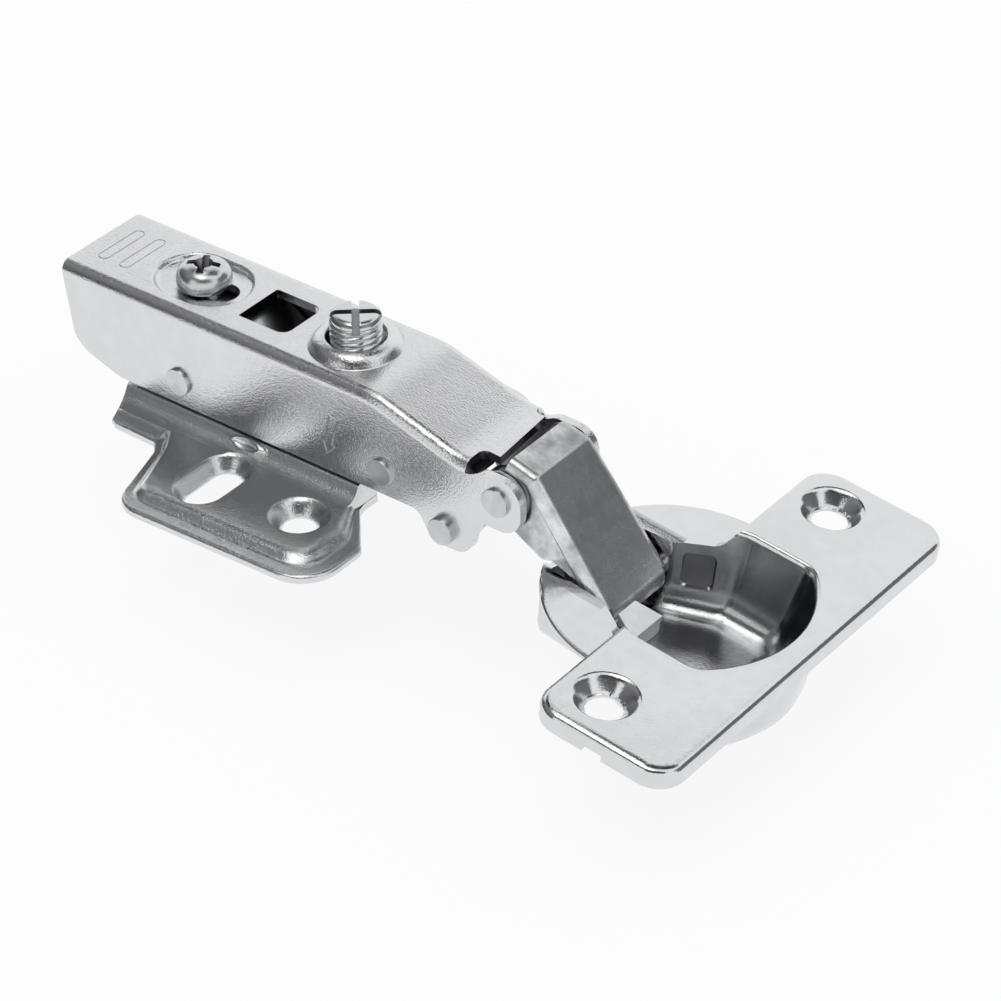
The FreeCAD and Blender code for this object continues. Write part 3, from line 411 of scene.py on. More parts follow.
arm_nickel = plated_metal("arm_nickel", (0.72, 0.725, 0.74), (0.66, 0.665, 0.68),
                          0.10, 0.18, speckle=0.8, peel=0.15, streak=0.03, relief=0.00006)
plate_nickel = plated_metal("plate_nickel", (0.72, 0.73, 0.745), (0.62, 0.63, 0.65),
                            0.10, 0.18, speckle=0.8, peel=0.15, streak=0.03, relief=0.00006)
cup_nickel = plated_metal("cup_nickel", (0.72, 0.725, 0.74), (0.64, 0.65, 0.67),
                          0.10, 0.18, speckle=0.5, peel=0.15, streak=0.03, relief=0.00003)
bracket_nickel = plated_metal("bracket_nickel", (0.60, 0.61, 0.63), (0.48, 0.49, 0.51),
                              0.2, 0.34, relief=0.00001)
link_brushed = plated_metal("link_brushed", (0.80, 0.81, 0.83), (0.36, 0.37, 0.38),
                            0.22, 0.40, haze=1.0, speckle=0.8, relief=0.000012)
link_dark = plated_metal("link_dark", (0.20, 0.20, 0.21), (0.12, 0.12, 0.13), 0.3, 0.45)
pressed_nickel = plated_metal("pressed_nickel", (0.5, 0.5, 0.51), (0.42, 0.42, 0.43),
                              0.25, 0.35)
# Painted shade: darker nickel for the inner faces of the arm's and link's channels.
channel_nickel_painted_shade = plated_metal("channel_nickel_painted_shade", (0.20, 0.20, 0.21), (0.11, 0.11, 0.12), 0.30, 0.45)
# Painted shade: darker nickel for the dent in the cup's pocket wall.
dent_nickel_painted_shade = plated_metal("dent_nickel_painted_shade", (0.34, 0.34, 0.35), (0.26, 0.26, 0.27), 0.2, 0.3)
# Painted shade: darker metal for the screws' cross recess and slot.
screw_slot_painted_shade = plated_metal("screw_slot_painted_shade", (0.32, 0.32, 0.33), (0.16, 0.16, 0.17), 0.35, 0.5)
# Painted shade: darker nickel for the inside of the cup's pocket.
pocket_nickel_painted_shade = plated_metal("pocket_nickel_painted_shade", (0.56, 0.565, 0.58), (0.46, 0.465, 0.48),
                             0.12, 0.22, speckle=0.5, peel=0.15, streak=0.03, relief=0.00004)
screw_zinc = plated_metal("screw_zinc", (0.66, 0.67, 0.69), (0.52, 0.53, 0.55),
                          0.2, 0.34, speckle=0.6, relief=0.00001)
rivet_steel = plated_metal("rivet_steel", (0.66, 0.665, 0.68), (0.54, 0.545, 0.56),
                           0.22, 0.36, speckle=0.7, haze=0.8, relief=0.00001)
washer_dull = plated_metal("washer_dull", (0.5, 0.5, 0.52), (0.38, 0.38, 0.4), 0.28, 0.4)
spring_blue = plated_metal("spring_blue", (0.40, 0.40, 0.43), (0.28, 0.28, 0.31), 0.25, 0.4)
tab_zinc = plated_metal("tab_zinc", (0.72, 0.725, 0.735), (0.62, 0.625, 0.64), 0.2, 0.32)


# Arm

SHEET = 1.2
ARM_TOP = 18.5
ARM_HALF = 8.2
ARM_INNER = 7.0
WEB_FRONT = 23.7
CRANK_TOP = 14.5
FOLD = 1.6
CRANK_START = 5.9
CRANK_END = 19.1
EAR_TOP = 14.05
STUB_X = -3.0


def arm_shell():
    top = [(-46.7, ARM_TOP, 0), (CRANK_START, ARM_TOP, 14), (CRANK_END, CRANK_TOP, 14),
           (WEB_FRONT, CRANK_TOP, 0)]
    low = [(WEB_FRONT, 5.95, 0), (21.95, 3.5, 1.5), (21.95, 0.35, 3.0), (15.35, 0.35, 2.0),
           (13.15, 4.15, 2.0), (-37.4, 4.15, 6.0), (-43.2, 6.1, 2.0), (-45.0, 7.75, 2.5)]
    arm = side_plate("hinge_arm_sheet", rounded(top + low, 8), -ARM_HALF, ARM_HALF)

    def on_top_edge(a, b):
        if abs(a.y - b.y) > 0.01 or abs(abs(a.y) - ARM_HALF) > 0.01:
            return False
        if min(a.z, b.z) < CRANK_TOP - 0.01:
            return False
        return abs(a.x - b.x) > 0.001

    round_chain(arm, on_top_edge, FOLD, 8)
    web_under = ARM_TOP - SHEET
    hollow = [(-60, web_under, 0), (CRANK_START, web_under, 13),
              (CRANK_END, CRANK_TOP - SHEET, 15), (24, CRANK_TOP - SHEET, 0), (24, -20, 0),
              (-60, -20, 0)]
    hollow = side_plate("hollow", rounded(hollow, 8), -ARM_INNER, ARM_INNER)
    round_chain(hollow, lambda a, b: abs(a.y - b.y) < 0.01 and min(a.z, b.z) > 12.7
                and abs(a.x - b.x) > 0.001, 0.6, 3)
    cut(arm, hollow)
    front = [Vector((22.5, 7)), Vector((24.5, 7)), Vector((24.5, -7)), Vector((23.8, -7))]
    cut(arm, levels("front", [(front, 12.9), (front, 16)]))
    ear = [(18.6, 5.95, 0), (22.9, 5.95, 0.3), (23.5, 6.4, 0.5), (29.5, 6.4, 3.3),
           (29.5, EAR_TOP, 3.2), (23.4, EAR_TOP, 2.5), (21.4, 13.0, 2.0), (19.4, 13.0, 0),
           (18.6, 11.8, 0)]
    for side in (1, -1):
        start = 5.9 if side > 0 else -4.3
        relief = rounded([(25.5, start + 0.3 * side, 0), (25.5, 9.2 * side, 0),
                          (20.8, 9.2 * side, 0), (20.8, start, 1.0)])
        cut(arm, levels("relief", [(relief, 12.9), (relief, 16)]))
        low_y, high_y = sorted((ARM_INNER * side, ARM_HALF * side))
        weld(arm, side_plate("ear", rounded(ear, 10), low_y, high_y))
    return arm


def inside_arm(spot, normal):
    """True for the inner faces of the arm's channel and the ends of its web, which take darker
    nickel as painted shade.
    """
    under = ARM_TOP - SHEET
    if spot.x > CRANK_START:
        slope = (ARM_TOP - CRANK_TOP) / (CRANK_END - CRANK_START)
        under = max(CRANK_TOP - SHEET, under - slope * (spot.x - CRANK_START))
    if abs(spot.y) > 7.15:
        return False
    if spot.x > 19 and abs(spot.y) < 7 and spot.z > 11 and normal.z < 0.5:
        return True
    return spot.z < under + 0.45 and normal.z < 0.3


def arm_top_features(arm):
    seat = [(stadium((-28.8, 0), 1.75, r), z)
            for r, z in ((5.2, 16.5), (5.9, 16.9), (5.95, 17.4))]
    weld(arm, levels("seat", seat))
    pressing = [(5.75, 18.9), (5.7, 18.51), (5.5, 18.46), (5.32, 18.34), (5.18, 18.12),
                (5.02, 17.92), (4.8, 17.77), (4.4, 17.7)]
    cut(arm, levels("pressing", [(stadium((-28.8, 0), 1.75, r), z) for r, z in pressing]))
    cut(arm, levels("slot", [(stadium((-27.4, 0), 1.9, 2.2), z) for z in (20, 15)]))
    window = rounded([(-19.5, -3.9, 0.25), (-11.7, -3.9, 1.5), (-11.7, 3.9, 1.5),
                      (-19.5, 3.9, 0.25)])
    cut(arm, levels("window", [(window, 20), (window, 16)]))
    collar = [(4.2, 17.35), (6.3, 17.35), (6.5, 18.44), (6.3, 18.53), (6.17, 18.66),
              (6.05, 18.82), (5.92, 19.0), (5.72, 19.25), (5.5, 19.47), (5.25, 19.67),
              (5.0, 19.82), (4.8, 19.9), (4.6, 19.96), (4.4, 19.99), (4.2, 20.0)]
    weld(arm, turned("collar", collar, (STUB_X, 0, 0), count=96))
    bore = [(4.2, 21), (4.16, 20.02), (4.03, 19.93), (3.96, 19.8), (3.95, 19.5), (3.95, 16)]
    cut(arm, turned("bore", bore, (STUB_X, 0, 0), count=96))


def arm_marks(arm):
    marks = []
    for x in (-43.2, -39.5):
        outline = stadium((x, 0), 3.3, 0.8, along_y=True, steps=10)
        marks.append(pressed_line("mark", [Vector((p.x, p.y, ARM_TOP - 0.08)) for p in outline],
                                  0.13))
    arrow = [(-1.0, 12.9), (0.35, 12.55), (-0.75, 8.3), (0.0, 8.4), (-1.6, 6.7), (-2.35, 9.0),
             (-1.85, 8.7)]
    spots = [Vector((x, -ARM_HALF, z)) for x, z in arrow]
    marks.append(pressed_line("arrow", spots, 0.13))
    for mark in marks:
        mark.data.transform(Matrix.Scale(MM, 4))
    before = len(arm.data.polygons)
    lay_on(arm, *marks)
    arm.data.materials.append(pressed_nickel)
    for face in arm.data.polygons[before:]:
        face.material_index = 2


def make_arm():
    arm = arm_shell()
    arm_top_features(arm)
    finished(arm, "arm", arm_nickel, 0.16, 2, replaced=["hinge_arm"],
             recess=[(channel_nickel_painted_shade, inside_arm)])
    arm_marks(arm)


# Rivets and pins across the hinge

def rivet_profile(shank, head, reach, proud, soft=0.14):
    half = [(shank, 0), (shank, reach), (head, reach), (head, reach + proud - soft),
            (head - soft * 0.3, reach + proud - soft * 0.3), (head - soft, reach + proud),
            (0, reach + proud)]
    return [(r, -y) for r, y in reversed(half)] + half[1:]


def make_pins():
    through = (("rear_cross_pin", "depth_slide", -26.7, 7.7, 1.25, 1.95, 8.23, 0.55),
               ("front_cross_pin", "arm", 7.24, 7.5, 1.25, 1.92, 8.2, 0.55),
               ("arm_front_pin", "arm", 25.7, 10.6, 1.45, 2.0, 8.2, 0.55))
    for node, body, x, z, shank, head, reach, proud in through:
        pin = turned(node + "_rivet", rivet_profile(shank, head, reach, proud), (x, 0, z),
                     across=True, count=64)
        finished(pin, body, rivet_steel, 0, replaced=[node])
    for node, side in (("pivot_rivet_near", -1), ("pivot_rivet_far", 1)):
        profile = [(0, 5.0), (1.1, 5.05), (1.2, 5.15), (1.2, 7.0), (1.45, 7.0), (1.45, 8.15),
                   (1.9, 8.2), (1.9, 9.05), (1.86, 9.15), (1.76, 9.2), (0, 9.2)]
        pin = turned(node + "_turned", [(r, y * side) for r, y in profile], (17.25, 0, 2.9),
                     across=True, count=64)
        finished(pin, "arm", rivet_steel, 0, replaced=[node])


# Screws

def cross_cutter(centre, top, depth, reach, width, angle, taper):
    """Two crossed wings; taper is their share of the reach at the slot's floor."""
    tools = []
    for quarter in (0, 90):
        turn = Matrix.Translation(centre) @ Matrix.Rotation(math.radians(angle + quarter), 4, "Z")
        sections = []
        for z, grow in ((top + 0.4, 1.0), (top, 1.0), (top - depth, taper)):
            a = reach * grow
            b = width / 2 * (0.6 + 0.4 * grow)
            outline = [Vector(p) for p in ((-a, -b), (a, -b), (a, b), (-a, b))]
            sections.append((outline, z))
        tool = levels("wing", sections)
        tool.data.transform(turn)
        tools.append(tool)
    return tools


def make_depth_screw():
    centre = (-28.7, 0, 0)
    low = 18.05
    profile = [(0, 12.2), (1.5, 12.2), (1.95, 12.7), (1.95, 17.6), (1.97, 17.9),
               (2.05, low), (3.5, low), (3.66, low + 0.12),
               (3.74, low + 0.5), (3.72, low + 1.05), (3.6, low + 1.6), (3.38, low + 2.05),
               (3.05, low + 2.42), (2.6, low + 2.72), (2.0, low + 2.93), (1.2, low + 3.06),
               (0.0, low + 3.1)]
    screw = turned("depth_screw_pan", profile, centre, count=80)
    cut(screw, *cross_cutter(centre, low + 3.1, 2.0, 2.45, 0.95, 26, 0.4))
    cone = turned("cone", [(1.45, low + 3.4), (1.3, low + 3.1), (0.5, low + 1.1)], centre,
                  count=32)
    cut(screw, cone)

    # Faces inside the cross recess take a darker material as painted shade.
    def in_cross(spot, normal):
        across = math.hypot(spot.x - centre[0], spot.y)
        dome = low + 3.1 - 0.055 * across * across
        return across < 2.6 and low + 0.4 < spot.z < dome - 0.1

    finished(screw, "depth_screw", screw_zinc, 0.1, 2, replaced=["depth_screw"],
             recess=[(screw_slot_painted_shade, in_cross)])


def make_side_screw():
    count = 72
    crest_radius = 3.4
    thread_pitch = 0.85
    thread_depth = 0.42
    thread_start = 10.55
    thread_end = 22.55
    profile = [(0, 7.35), (2.9, 7.35), (3.05, 7.5), (3.05, 8.3), (2.0, 8.32), (2.0, 10.5),
               (3.0, 10.52)]
    loops = []
    for radius, z in profile:
        loops.append([Vector((p.x, p.y, z)) for p in ring(max(radius, 0.001), count)])
    height = thread_start
    while height < thread_end:
        loop = []
        fade = min(1.0, (height - thread_start) / 0.6, (thread_end - height) / 0.5)
        for k in range(count):
            wave = (height / thread_pitch - k / count) % 1.0
            crest = abs(wave * 2 - 1)
            crest = min(1.0, max(0.0, crest * 1.5 - 0.2))
            radius = crest_radius - thread_depth * (1 - crest) * fade
            angle = math.tau * k / count
            loop.append(Vector((radius * math.cos(angle), radius * math.sin(angle), height)))
        loops.append(loop)
        height += 0.085
    chamfer = ((crest_radius, thread_end), (3.3, 22.85), (3.05, 23.15), (2.7, 23.35), (2.4, 23.4))
    for radius, z in chamfer:
        loops.append([Vector((p.x, p.y, z)) for p in ring(radius, count)])
    screw = stack("side_screw_stub", loops)
    screw.data.transform(Matrix.Translation((STUB_X, 0, 0)))
    cut(screw, *cross_cutter((STUB_X, 0, 0), 23.4, 1.6, 4.2, 1.0, -50, 1))

    # Faces inside the slot take a darker material as painted shade.
    def in_slot(spot, normal):
        across = math.hypot(spot.x - STUB_X, spot.y)
        return across < 3.2 and 21.6 < spot.z < 23.1

    finished(screw, "side_screw", screw_zinc, 0.06, 2, 50,
             replaced=["side_screw"], recess=[(screw_slot_painted_shade, in_slot)])


# Outer link

LINK_REAR = Vector((26.0, 15.7))
LINK_BEND = Vector((29.967, 14.6))
LINK_END = Vector((41.38, -0.399))
LINK_FOLD = 1.55
LINK_HALF = 6.3
CUP_EYE = (39.493, -1.88)
ARM_EYE = (25.7, 10.6)


def link_side(depth):
    """Side view outline of the link, with its top path lowered by depth."""
    under_band = Vector((-0.258, -0.966))
    under_face = Vector((-0.787, -0.617))
    bend = LINK_BEND + Vector((-0.581, -0.880)) * depth
    rear = LINK_REAR + under_band * depth
    end = LINK_END + under_face * depth
    outline = [(*rear, 0), (*bend, max(0.03, 0.9 - depth)), (*end, 0)]
    outline.append((*(LINK_END + under_face * max(1.0, depth + 0.03)), 0))
    wall = [(38.47, 1.46, 2.0), (35.77, 3.16, 2.0), (33.17, 4.06, 1.2), (31.77, 3.56, 1.2),
            (29.67, 4.56, 2.0), (27.67, 5.66, 2.0), (24.5, 7.42, 2.6), (22.36, 10.0, 1.6),
            (22.6, 12.0, 1.2), (24.0, 13.4, 0.9)]
    for x, z, radius in wall:
        spot = Vector((x, z))
        below = (spot - LINK_BEND).dot(under_face)
        spot = spot + under_face * max(0.0, depth + 0.06 - below)
        outline.append((*spot, radius))
    outline.append((*(LINK_REAR + under_band * max(1.1, depth + 0.03)), 0))
    return rounded(outline, 8)


def make_outer_link():
    sections = []
    for step in range(9):
        turn = math.pi / 2 * step / 8
        sections.append((LINK_HALF - LINK_FOLD * (1 - math.sin(turn)),
                         LINK_FOLD * (1 - math.cos(turn))))
    loops = []
    for y, depth in [(-y, d) for y, d in reversed(sections)] + sections:
        loop = []
        for p in link_side(depth):
            along = (p - LINK_BEND).dot(LINK_END - LINK_BEND) / (LINK_END - LINK_BEND).length
            loop.append(Vector((p.x, y * (1 + 0.006 * max(0.0, min(16.0, along))), p.y)))
        loops.append(loop)
    link = stack("outer_link_channel", loops)
    for side, radius in ((1, 1.7), (-1, 0.7)):
        corner = [Vector((24.0, 7.5 * side)), Vector((24.0, (LINK_HALF - radius) * side))]
        for step in range(7):
            angle = math.pi / 2 * step / 6
            corner.append(Vector((25.6 + radius * (1 - math.cos(angle)),
                                  (LINK_HALF - radius + radius * math.sin(angle)) * side)))
        corner.append(Vector((25.6 + radius, 7.5 * side)))
        cut(link, levels("corner", [(corner, 14.6), (corner, 17.5)]))
    hollow = [(19.0, 14.7, 0), (25.9, 14.64, 0), (29.45, 13.67, 0.3), (40.6, -1.02, 0),
              (37.6, -4.0, 0), (19.0, -4.0, 0)]
    cut(link, side_plate("hollow", rounded(hollow, 8), -5.3, 5.3))
    knuckle = turned("knuckle", [(0, -5.5), (2.25, -5.5), (2.4, -5.35), (2.4, 5.35),
                                 (2.25, 5.5), (0, 5.5)], (CUP_EYE[0], 0, CUP_EYE[1]),
                     across=True)
    weld(link, knuckle)
    for (x, z), radius in ((CUP_EYE, 1.36), (ARM_EYE, 1.56)):
        cut(link, turned("eye", [(radius, -9), (radius, 9)], (x, 0, z), across=True, count=48))

    # Inner faces of the link's channel, away from its cup eye, take darker nickel as painted
    # shade.
    def inside_link(spot, normal):
        if abs(spot.y) > 5.42:
            return False
        if math.hypot(spot.x - CUP_EYE[0], spot.z - CUP_EYE[1]) < 3.0:
            return False
        toward = -normal.y if spot.y > 0 else normal.y
        return toward > 0.5 or normal.x * 0.787 + normal.z * 0.617 < -0.3

    finished(link, "outer_link", link_brushed, 0.14, 2, replaced=["outer_link"],
             recess=[(channel_nickel_painted_shade, inside_link)])


# Cup with its long plate, in the cup's own frame

CUP_PLACE = Matrix.Translation((54.27, 0, 3.55)) @ Matrix.Rotation(math.radians(7.04), 4, "Y")
RIM_BACK = -6.0
RIM_LEVEL = -2.735
PLATE_BACK = -6.35
PLATE_FRONT = 14.07
PLATE_NEAR = -31.1
PLATE_FAR = 30.7
PLATE_CORNER = 4.0
CUP_SCREWS = (24, -24)
POCKET_SIDE = 12.4
THROAT_X = -12.5
THROAT_SIDE = 7.6


def pocket_loop(grow, taper, front=1.6):
    """Outline of the pocket, widened by grow and drawn in by taper, front times at its arc."""
    side = POCKET_SIDE + grow - taper
    reach = 16.5 + grow - taper * front
    throat = THROAT_SIDE + grow
    corner_x = RIM_BACK + math.sqrt(reach ** 2 - side ** 2)
    arc = []
    edge = math.asin(side / reach) * 0.86
    for k in range(17):
        angle = -edge + 2 * edge * k / 16
        arc.append((RIM_BACK + reach * math.cos(angle), reach * math.sin(angle), 0))
    left = RIM_BACK - math.sqrt((16.4 + grow) ** 2 - (throat - 0.6) ** 2)
    half = [(left, throat - 0.6, 0.6), (THROAT_X, throat, 2.4), (-5.2, side, 4.2),
            (corner_x, side, 3.4)]
    corners = [(x, -y, r) for x, y, r in half] + arc + list(reversed(half))
    corners += [(RIM_BACK - (16.4 + grow), 0, 0)]
    return rounded(corners, 6)


def pocket_cutter():
    shape = [(0.8, 0.0, 0.3), (0.72, 0.0, 0.02), (0.42, 0.0, -0.08), (0.2, 0.0, -0.27),
             (0.06, 0.0, -0.55), (0.0, 0.05, -1.0), (0.0, 1.1, -8.4), (-0.1, 1.25, -9.5),
             (-0.45, 1.4, -10.7),
             (-1.1, 1.5, -11.6), (-2.0, 1.55, -12.2), (-3.2, 1.6, -12.5)]
    return levels("pocket", [(pocket_loop(grow, taper), z) for grow, taper, z in shape])


def pocket_body():
    """Drawn wall of the pocket; left of the plate it ends at the rim's level."""
    shape = [(0.95, 0.0, -0.45), (0.95, 0.0, -2.9), (0.95, 0.5, -8.6), (0.9, 0.7, -11.5),
             (0.6, 0.8, -12.9), (0.0, 0.9, -13.7), (-0.9, 0.9, -14.15), (-1.8, 0.9, -14.2)]
    body = levels("shoulder", [(pocket_loop(grow, taper, 0.2), z) for grow, taper, z in shape])
    step = [(-30, 3), (-30, RIM_LEVEL - 0.05), (-8.3, RIM_LEVEL - 0.05), (-7.6, RIM_LEVEL + 0.2),
            (-7.0, RIM_LEVEL + 0.75), (-6.6, RIM_LEVEL + 1.5), (-6.2, -0.65), (-5.6, -0.2),
            (-5.0, 0.1), (-5.0, 3)]
    return cut(body, side_plate("step", [Vector(p) for p in step], -20, 20))


def plate_loop(inset):
    """Outline of the long plate, brought in by inset."""
    radius = max(0.4, PLATE_CORNER - inset)
    low_x = PLATE_BACK + inset
    high_x = PLATE_FRONT - inset
    near = PLATE_NEAR + inset
    far = PLATE_FAR - inset
    return rounded([(low_x, near, radius), (high_x, near, radius), (high_x, far, radius),
                    (low_x, far, radius)], 10)


def wall_side(z):
    """Half width of the pocket between its walls, at a height in the cup's frame."""
    return POCKET_SIDE - 1.1 * min(1.0, (-1.0 - z) / 7.4)


def funnel(name, x, y, lip, throat, deep, centre_z):
    """Countersink tool with a soft lip."""
    profile = [(lip + 0.55, 0.6), (lip + 0.5, 0.02), (lip + 0.18, -0.05), (lip - 0.1, -0.22),
               (lip - 0.4, -0.5), (throat + 0.35, -deep + 0.5), (throat, -deep), (throat, -9)]
    return turned(name, [(r, z + centre_z) for r, z in profile], (x, y, 0), count=72)


def make_cup():
    folded = [(1.5, 0.0), (1.0, -0.02), (0.6, -0.11), (0.28, -0.3), (0.08, -0.6), (0.0, -0.95),
              (0.0, -2.62), (0.1, RIM_LEVEL), (0.8, RIM_LEVEL), (0.9, -2.6), (0.9, -1.3),
              (1.3, -0.92), (1.9, -0.9)]
    plate = levels("hinge_cup_plate", [(plate_loop(inset), z) for inset, z in folded])
    rim = [(0, RIM_LEVEL), (16.9, RIM_LEVEL), (17.25, RIM_LEVEL - 0.06),
           (17.45, RIM_LEVEL - 0.25), (17.5, RIM_LEVEL - 0.5), (17.42, RIM_LEVEL - 0.8),
           (17.2, RIM_LEVEL - 0.93), (16.9, RIM_LEVEL - 0.97), (0, RIM_LEVEL - 0.97)]
    weld(plate, turned("rim", rim, (RIM_BACK, 0, 0), count=128))
    weld(plate, pocket_body())
    for y in CUP_SCREWS:
        boss = [(5.4, -0.5), (4.8, -1.4), (3.2, -2.25), (3.0, -2.4), (0, -2.4)]
        weld(plate, turned("boss", boss, (0, y, 0)))
    cut(plate, pocket_cutter())
    dip = []
    for k in range(25):
        y = -10 + 20 * k / 24
        fall = 0.5 + 0.5 * math.cos(math.pi * min(1.0, abs(y) / 9.0))
        dip.append((y, RIM_LEVEL - 3.4 * fall))
    outline = [Vector(p) for p in dip] + [Vector((10, 3)), Vector((-10, 3))]
    valley = stack("valley", [[Vector((x, p.x, p.y)) for p in outline] for x in (-30, -11.5)])
    cut(plate, valley)
    for y in CUP_SCREWS:
        cut(plate, funnel("sink", 0, y, 4.05, 2.35, 2.05, 0.0))
    cut(plate, block("notch", (1.9, -32.5, -3.2), (4.8, -29.4, -1.75)))
    frame_line = rounded([(1.4, -9.7, 0.9), (5.8, -9.7, 0.9), (5.8, -4.2, 0.9),
                          (1.4, -4.2, 0.9)])
    loops = []
    for depth in (-0.5, 0.0, 0.3):
        shrink = 0.9 if depth > 0 else 1.0
        loop = []
        for along, z in frame_line:
            along = 3.6 + (along - 3.6) * shrink
            z = -6.95 + (z + 6.95) * shrink
            wall = Vector((7.3, wall_side(z) - THROAT_SIDE, 0)).normalized()
            out = Vector((-wall.y, wall.x, 0))
            loop.append(Vector((THROAT_X, THROAT_SIDE, z)) + wall * along + out * depth)
        loops.append(loop)
    cut(plate, stack("dent", loops))
    plate.data.transform(CUP_PLACE)
    back = CUP_PLACE.inverted()

    # Faces inside the pocket take darker nickel as painted shade.
    def inside_pocket(spot, normal):
        here = back @ spot
        facing = back.to_3x3() @ normal
        across = math.hypot(here.x - RIM_BACK, here.y)
        if across > 16.47 or abs(here.y) > 12.5 or not -12.6 < here.z < -1.2:
            return False
        inward = (RIM_BACK - here.x) * facing.x - here.y * facing.y
        return facing.z > 0.3 or inward > 0.5

    # Faces in the dent take darker nickel as painted shade.
    def in_dent(spot, normal):
        here = back @ spot
        wall = Vector((7.3, wall_side(here.z) - THROAT_SIDE))
        out = Vector((-wall.y, wall.x)).normalized()
        away = Vector((here.x - THROAT_X, here.y - THROAT_SIDE))
        share = away.dot(wall) / wall.length_squared
        return 0.16 < share < 0.66 and -9.8 < here.z < -4.1 and 0.16 < away.dot(out) < 0.6

    finished(plate, "cup", cup_nickel, 0.12, 2, replaced=["hinge_cup"],
             recess=[(pocket_nickel_painted_shade, inside_pocket), (dent_nickel_painted_shade, in_dent)])


# Mounting plate

# Corners from the front to the rear, the same number in both lists
WING_OUTER = [(4.2, 8.0, 0), (4.6, 9.4, 1.0), (10.15, 15.9, 1.6), (10.15, 26.0, 5.6),
              (-21.9, 27.1, 4.4), (-23.1, 22.6, 3.0), (-25.3, 15.4, 2.6), (-26.9, 13.5, 1.4),
              (-34.5, 13.3, 0.7)]
WING_RIDGE = [(3.2, 8.0, 0), (3.5, 10.0, 1.0), (5.3, 15.2, 2.4), (5.3, 22.1, 2.6),
              (-19.9, 22.9, 1.5), (-20.7, 21.0, 1.0), (-23.3, 14.6, 2.6), (-26.0, 10.2, 1.4),
              (-33.4, 9.8, 0.7)]
# The far wing's own corners, by their number in the lists
WING_FAR = {3: ((9.2, 24.0, 6.6), (4.4, 20.6, 3.2))}


def wing_loop(share):
    """Outline of both wings, from the outer edge (0) to the raised field's ridge (1)."""
    halves = []
    for side in (-1, 1):
        half = []
        for number, (outer, ridge) in enumerate(zip(WING_OUTER, WING_RIDGE)):
            if side > 0:
                outer, ridge = WING_FAR.get(number, (outer, ridge))
            x, y, radius = (a + (b - a) * share for a, b in zip(outer, ridge))
            half.append((x, y * side, max(0.0 if outer[2] == 0 else 0.3, radius)))
        halves.append(half)
    return rounded(list(reversed(halves[0])) + halves[1], 8)


def make_mounting_plate():
    # Each a share of the way from the outer edge to the ridge, and a height
    edge = [(1.14, 2.15), (1.05, 2.145), (0.97, 2.12), (0.9, 2.075), (0.83, 2.0), (0.77, 1.9),
            (0.71, 1.75), (0.6, 1.43), (0.55, 1.31), (0.5, 1.23), (0.45, 1.19), (0.4, 1.17),
            (0.14, 1.15), (0.09, 1.12), (0.04, 1.02), (0.01, 0.86), (0.0, 0.7), (0.0, 0.22),
            (0.015, 0.07), (0.05, 0.0), (0.26, 0.0), (0.32, 0.08), (0.5, 0.12), (0.66, 0.35),
            (0.88, 0.85), (1.0, 0.93), (1.14, 0.95)]
    plate = levels("mounting_plate_wings", [(wing_loop(share), z) for share, z in edge])
    half = [(11.6, 2.1), (11.2, 2.17), (10.4, 2.26), (9.75, 2.44), (9.25, 2.7), (8.85, 3.02),
            (8.55, 3.36), (8.25, 3.62), (7.8, 3.74), (7.0, 3.78), (6.85, 4.3), (6.7, 5.0),
            (6.4, 5.45), (6.0, 5.6)]
    outline = [(y, z) for y, z in half] + [(-y, z) for y, z in reversed(half)]
    outline += [(-11.6, 1.2), (11.6, 1.2)]
    ends = []
    for y, z in outline:
        lean = min(max(0.0, z - 1.2), 2.6)
        ends.append((Vector((-34.3 - 0.45 * lean, y, z)), Vector((4.15 - 0.3 * lean, y, z))))
    weld(plate, stack("rail", [[pair[k] for pair in ends] for k in (0, 1)]))
    tunnel = [(-5.4, -1), (-5.4, 3.9), (-4.9, 4.4), (4.9, 4.4), (5.4, 3.9), (5.4, -1)]
    cut(plate, stack("tunnel", [[Vector((x, y, z)) for y, z in tunnel] for x in (-40, 10)]))
    foot = [(7.5, 3.75), (8.0, 3.7), (8.4, 3.5), (8.8, 3.1), (9.3, 2.65), (10.1, 2.15),
            (11.1, 1.72), (12.0, 1.45), (12.8, 1.28), (13.15, 1.1), (13.25, 0.8), (13.2, 0.5),
            (12.9, 0.3), (7.5, 0.3)]
    for side in (1, -1):
        ends = ([Vector((-34.5 - (13.3 - y) * 0.3, y * side, z)) for y, z in foot],
                [Vector((-26.6, y * side, z)) for y, z in foot])
        weld(plate, stack("foot", ends))
    for side in (1, -1):
        weld(plate, egg("eye_lip", (-14.4, 8.95 * side, 3.15), (3.1, 1.0, 0.8)))
        weld(plate, turned("boss", [(3.5, 1.5), (3.4, 0.4), (2.9, 0.02), (0, 0.02)],
                           (0, 16 * side, 0)))
        under = [(stadium((-14.2, 16.3 * side), 2.5, r, True), z)
                 for r, z in ((3.2, 1.5), (3.1, 0.4), (2.7, 0.02))]
        weld(plate, levels("slot_boss", under))
    for side in (1, -1):
        cut(plate, egg("eye", (-14.4, 9.65 * side, 3.65), (2.3, 0.75, 0.95)))
        cut(plate, funnel("sink", 0, 16 * side, 3.75, 2.2, 1.85, 2.15))
        slot = [(3.95, 2.8), (3.85, 2.18), (3.6, 2.12), (3.35, 1.93), (3.05, 1.55),
                (2.4, 0.75), (2.1, 0.4), (2.02, 0.2), (2.0, -1)]
        cut(plate, levels("slot", [(stadium((-14.0, 16.5 * side), 2.5, r, True), z)
                                   for r, z in slot]))
    finished(plate, "base", plate_nickel, 0.12, 2, 32,
             replaced=["mounting_plate"])


make_arm()
make_pins()
make_depth_screw()
make_side_screw()
make_outer_link()
make_cup()
make_mounting_plate()

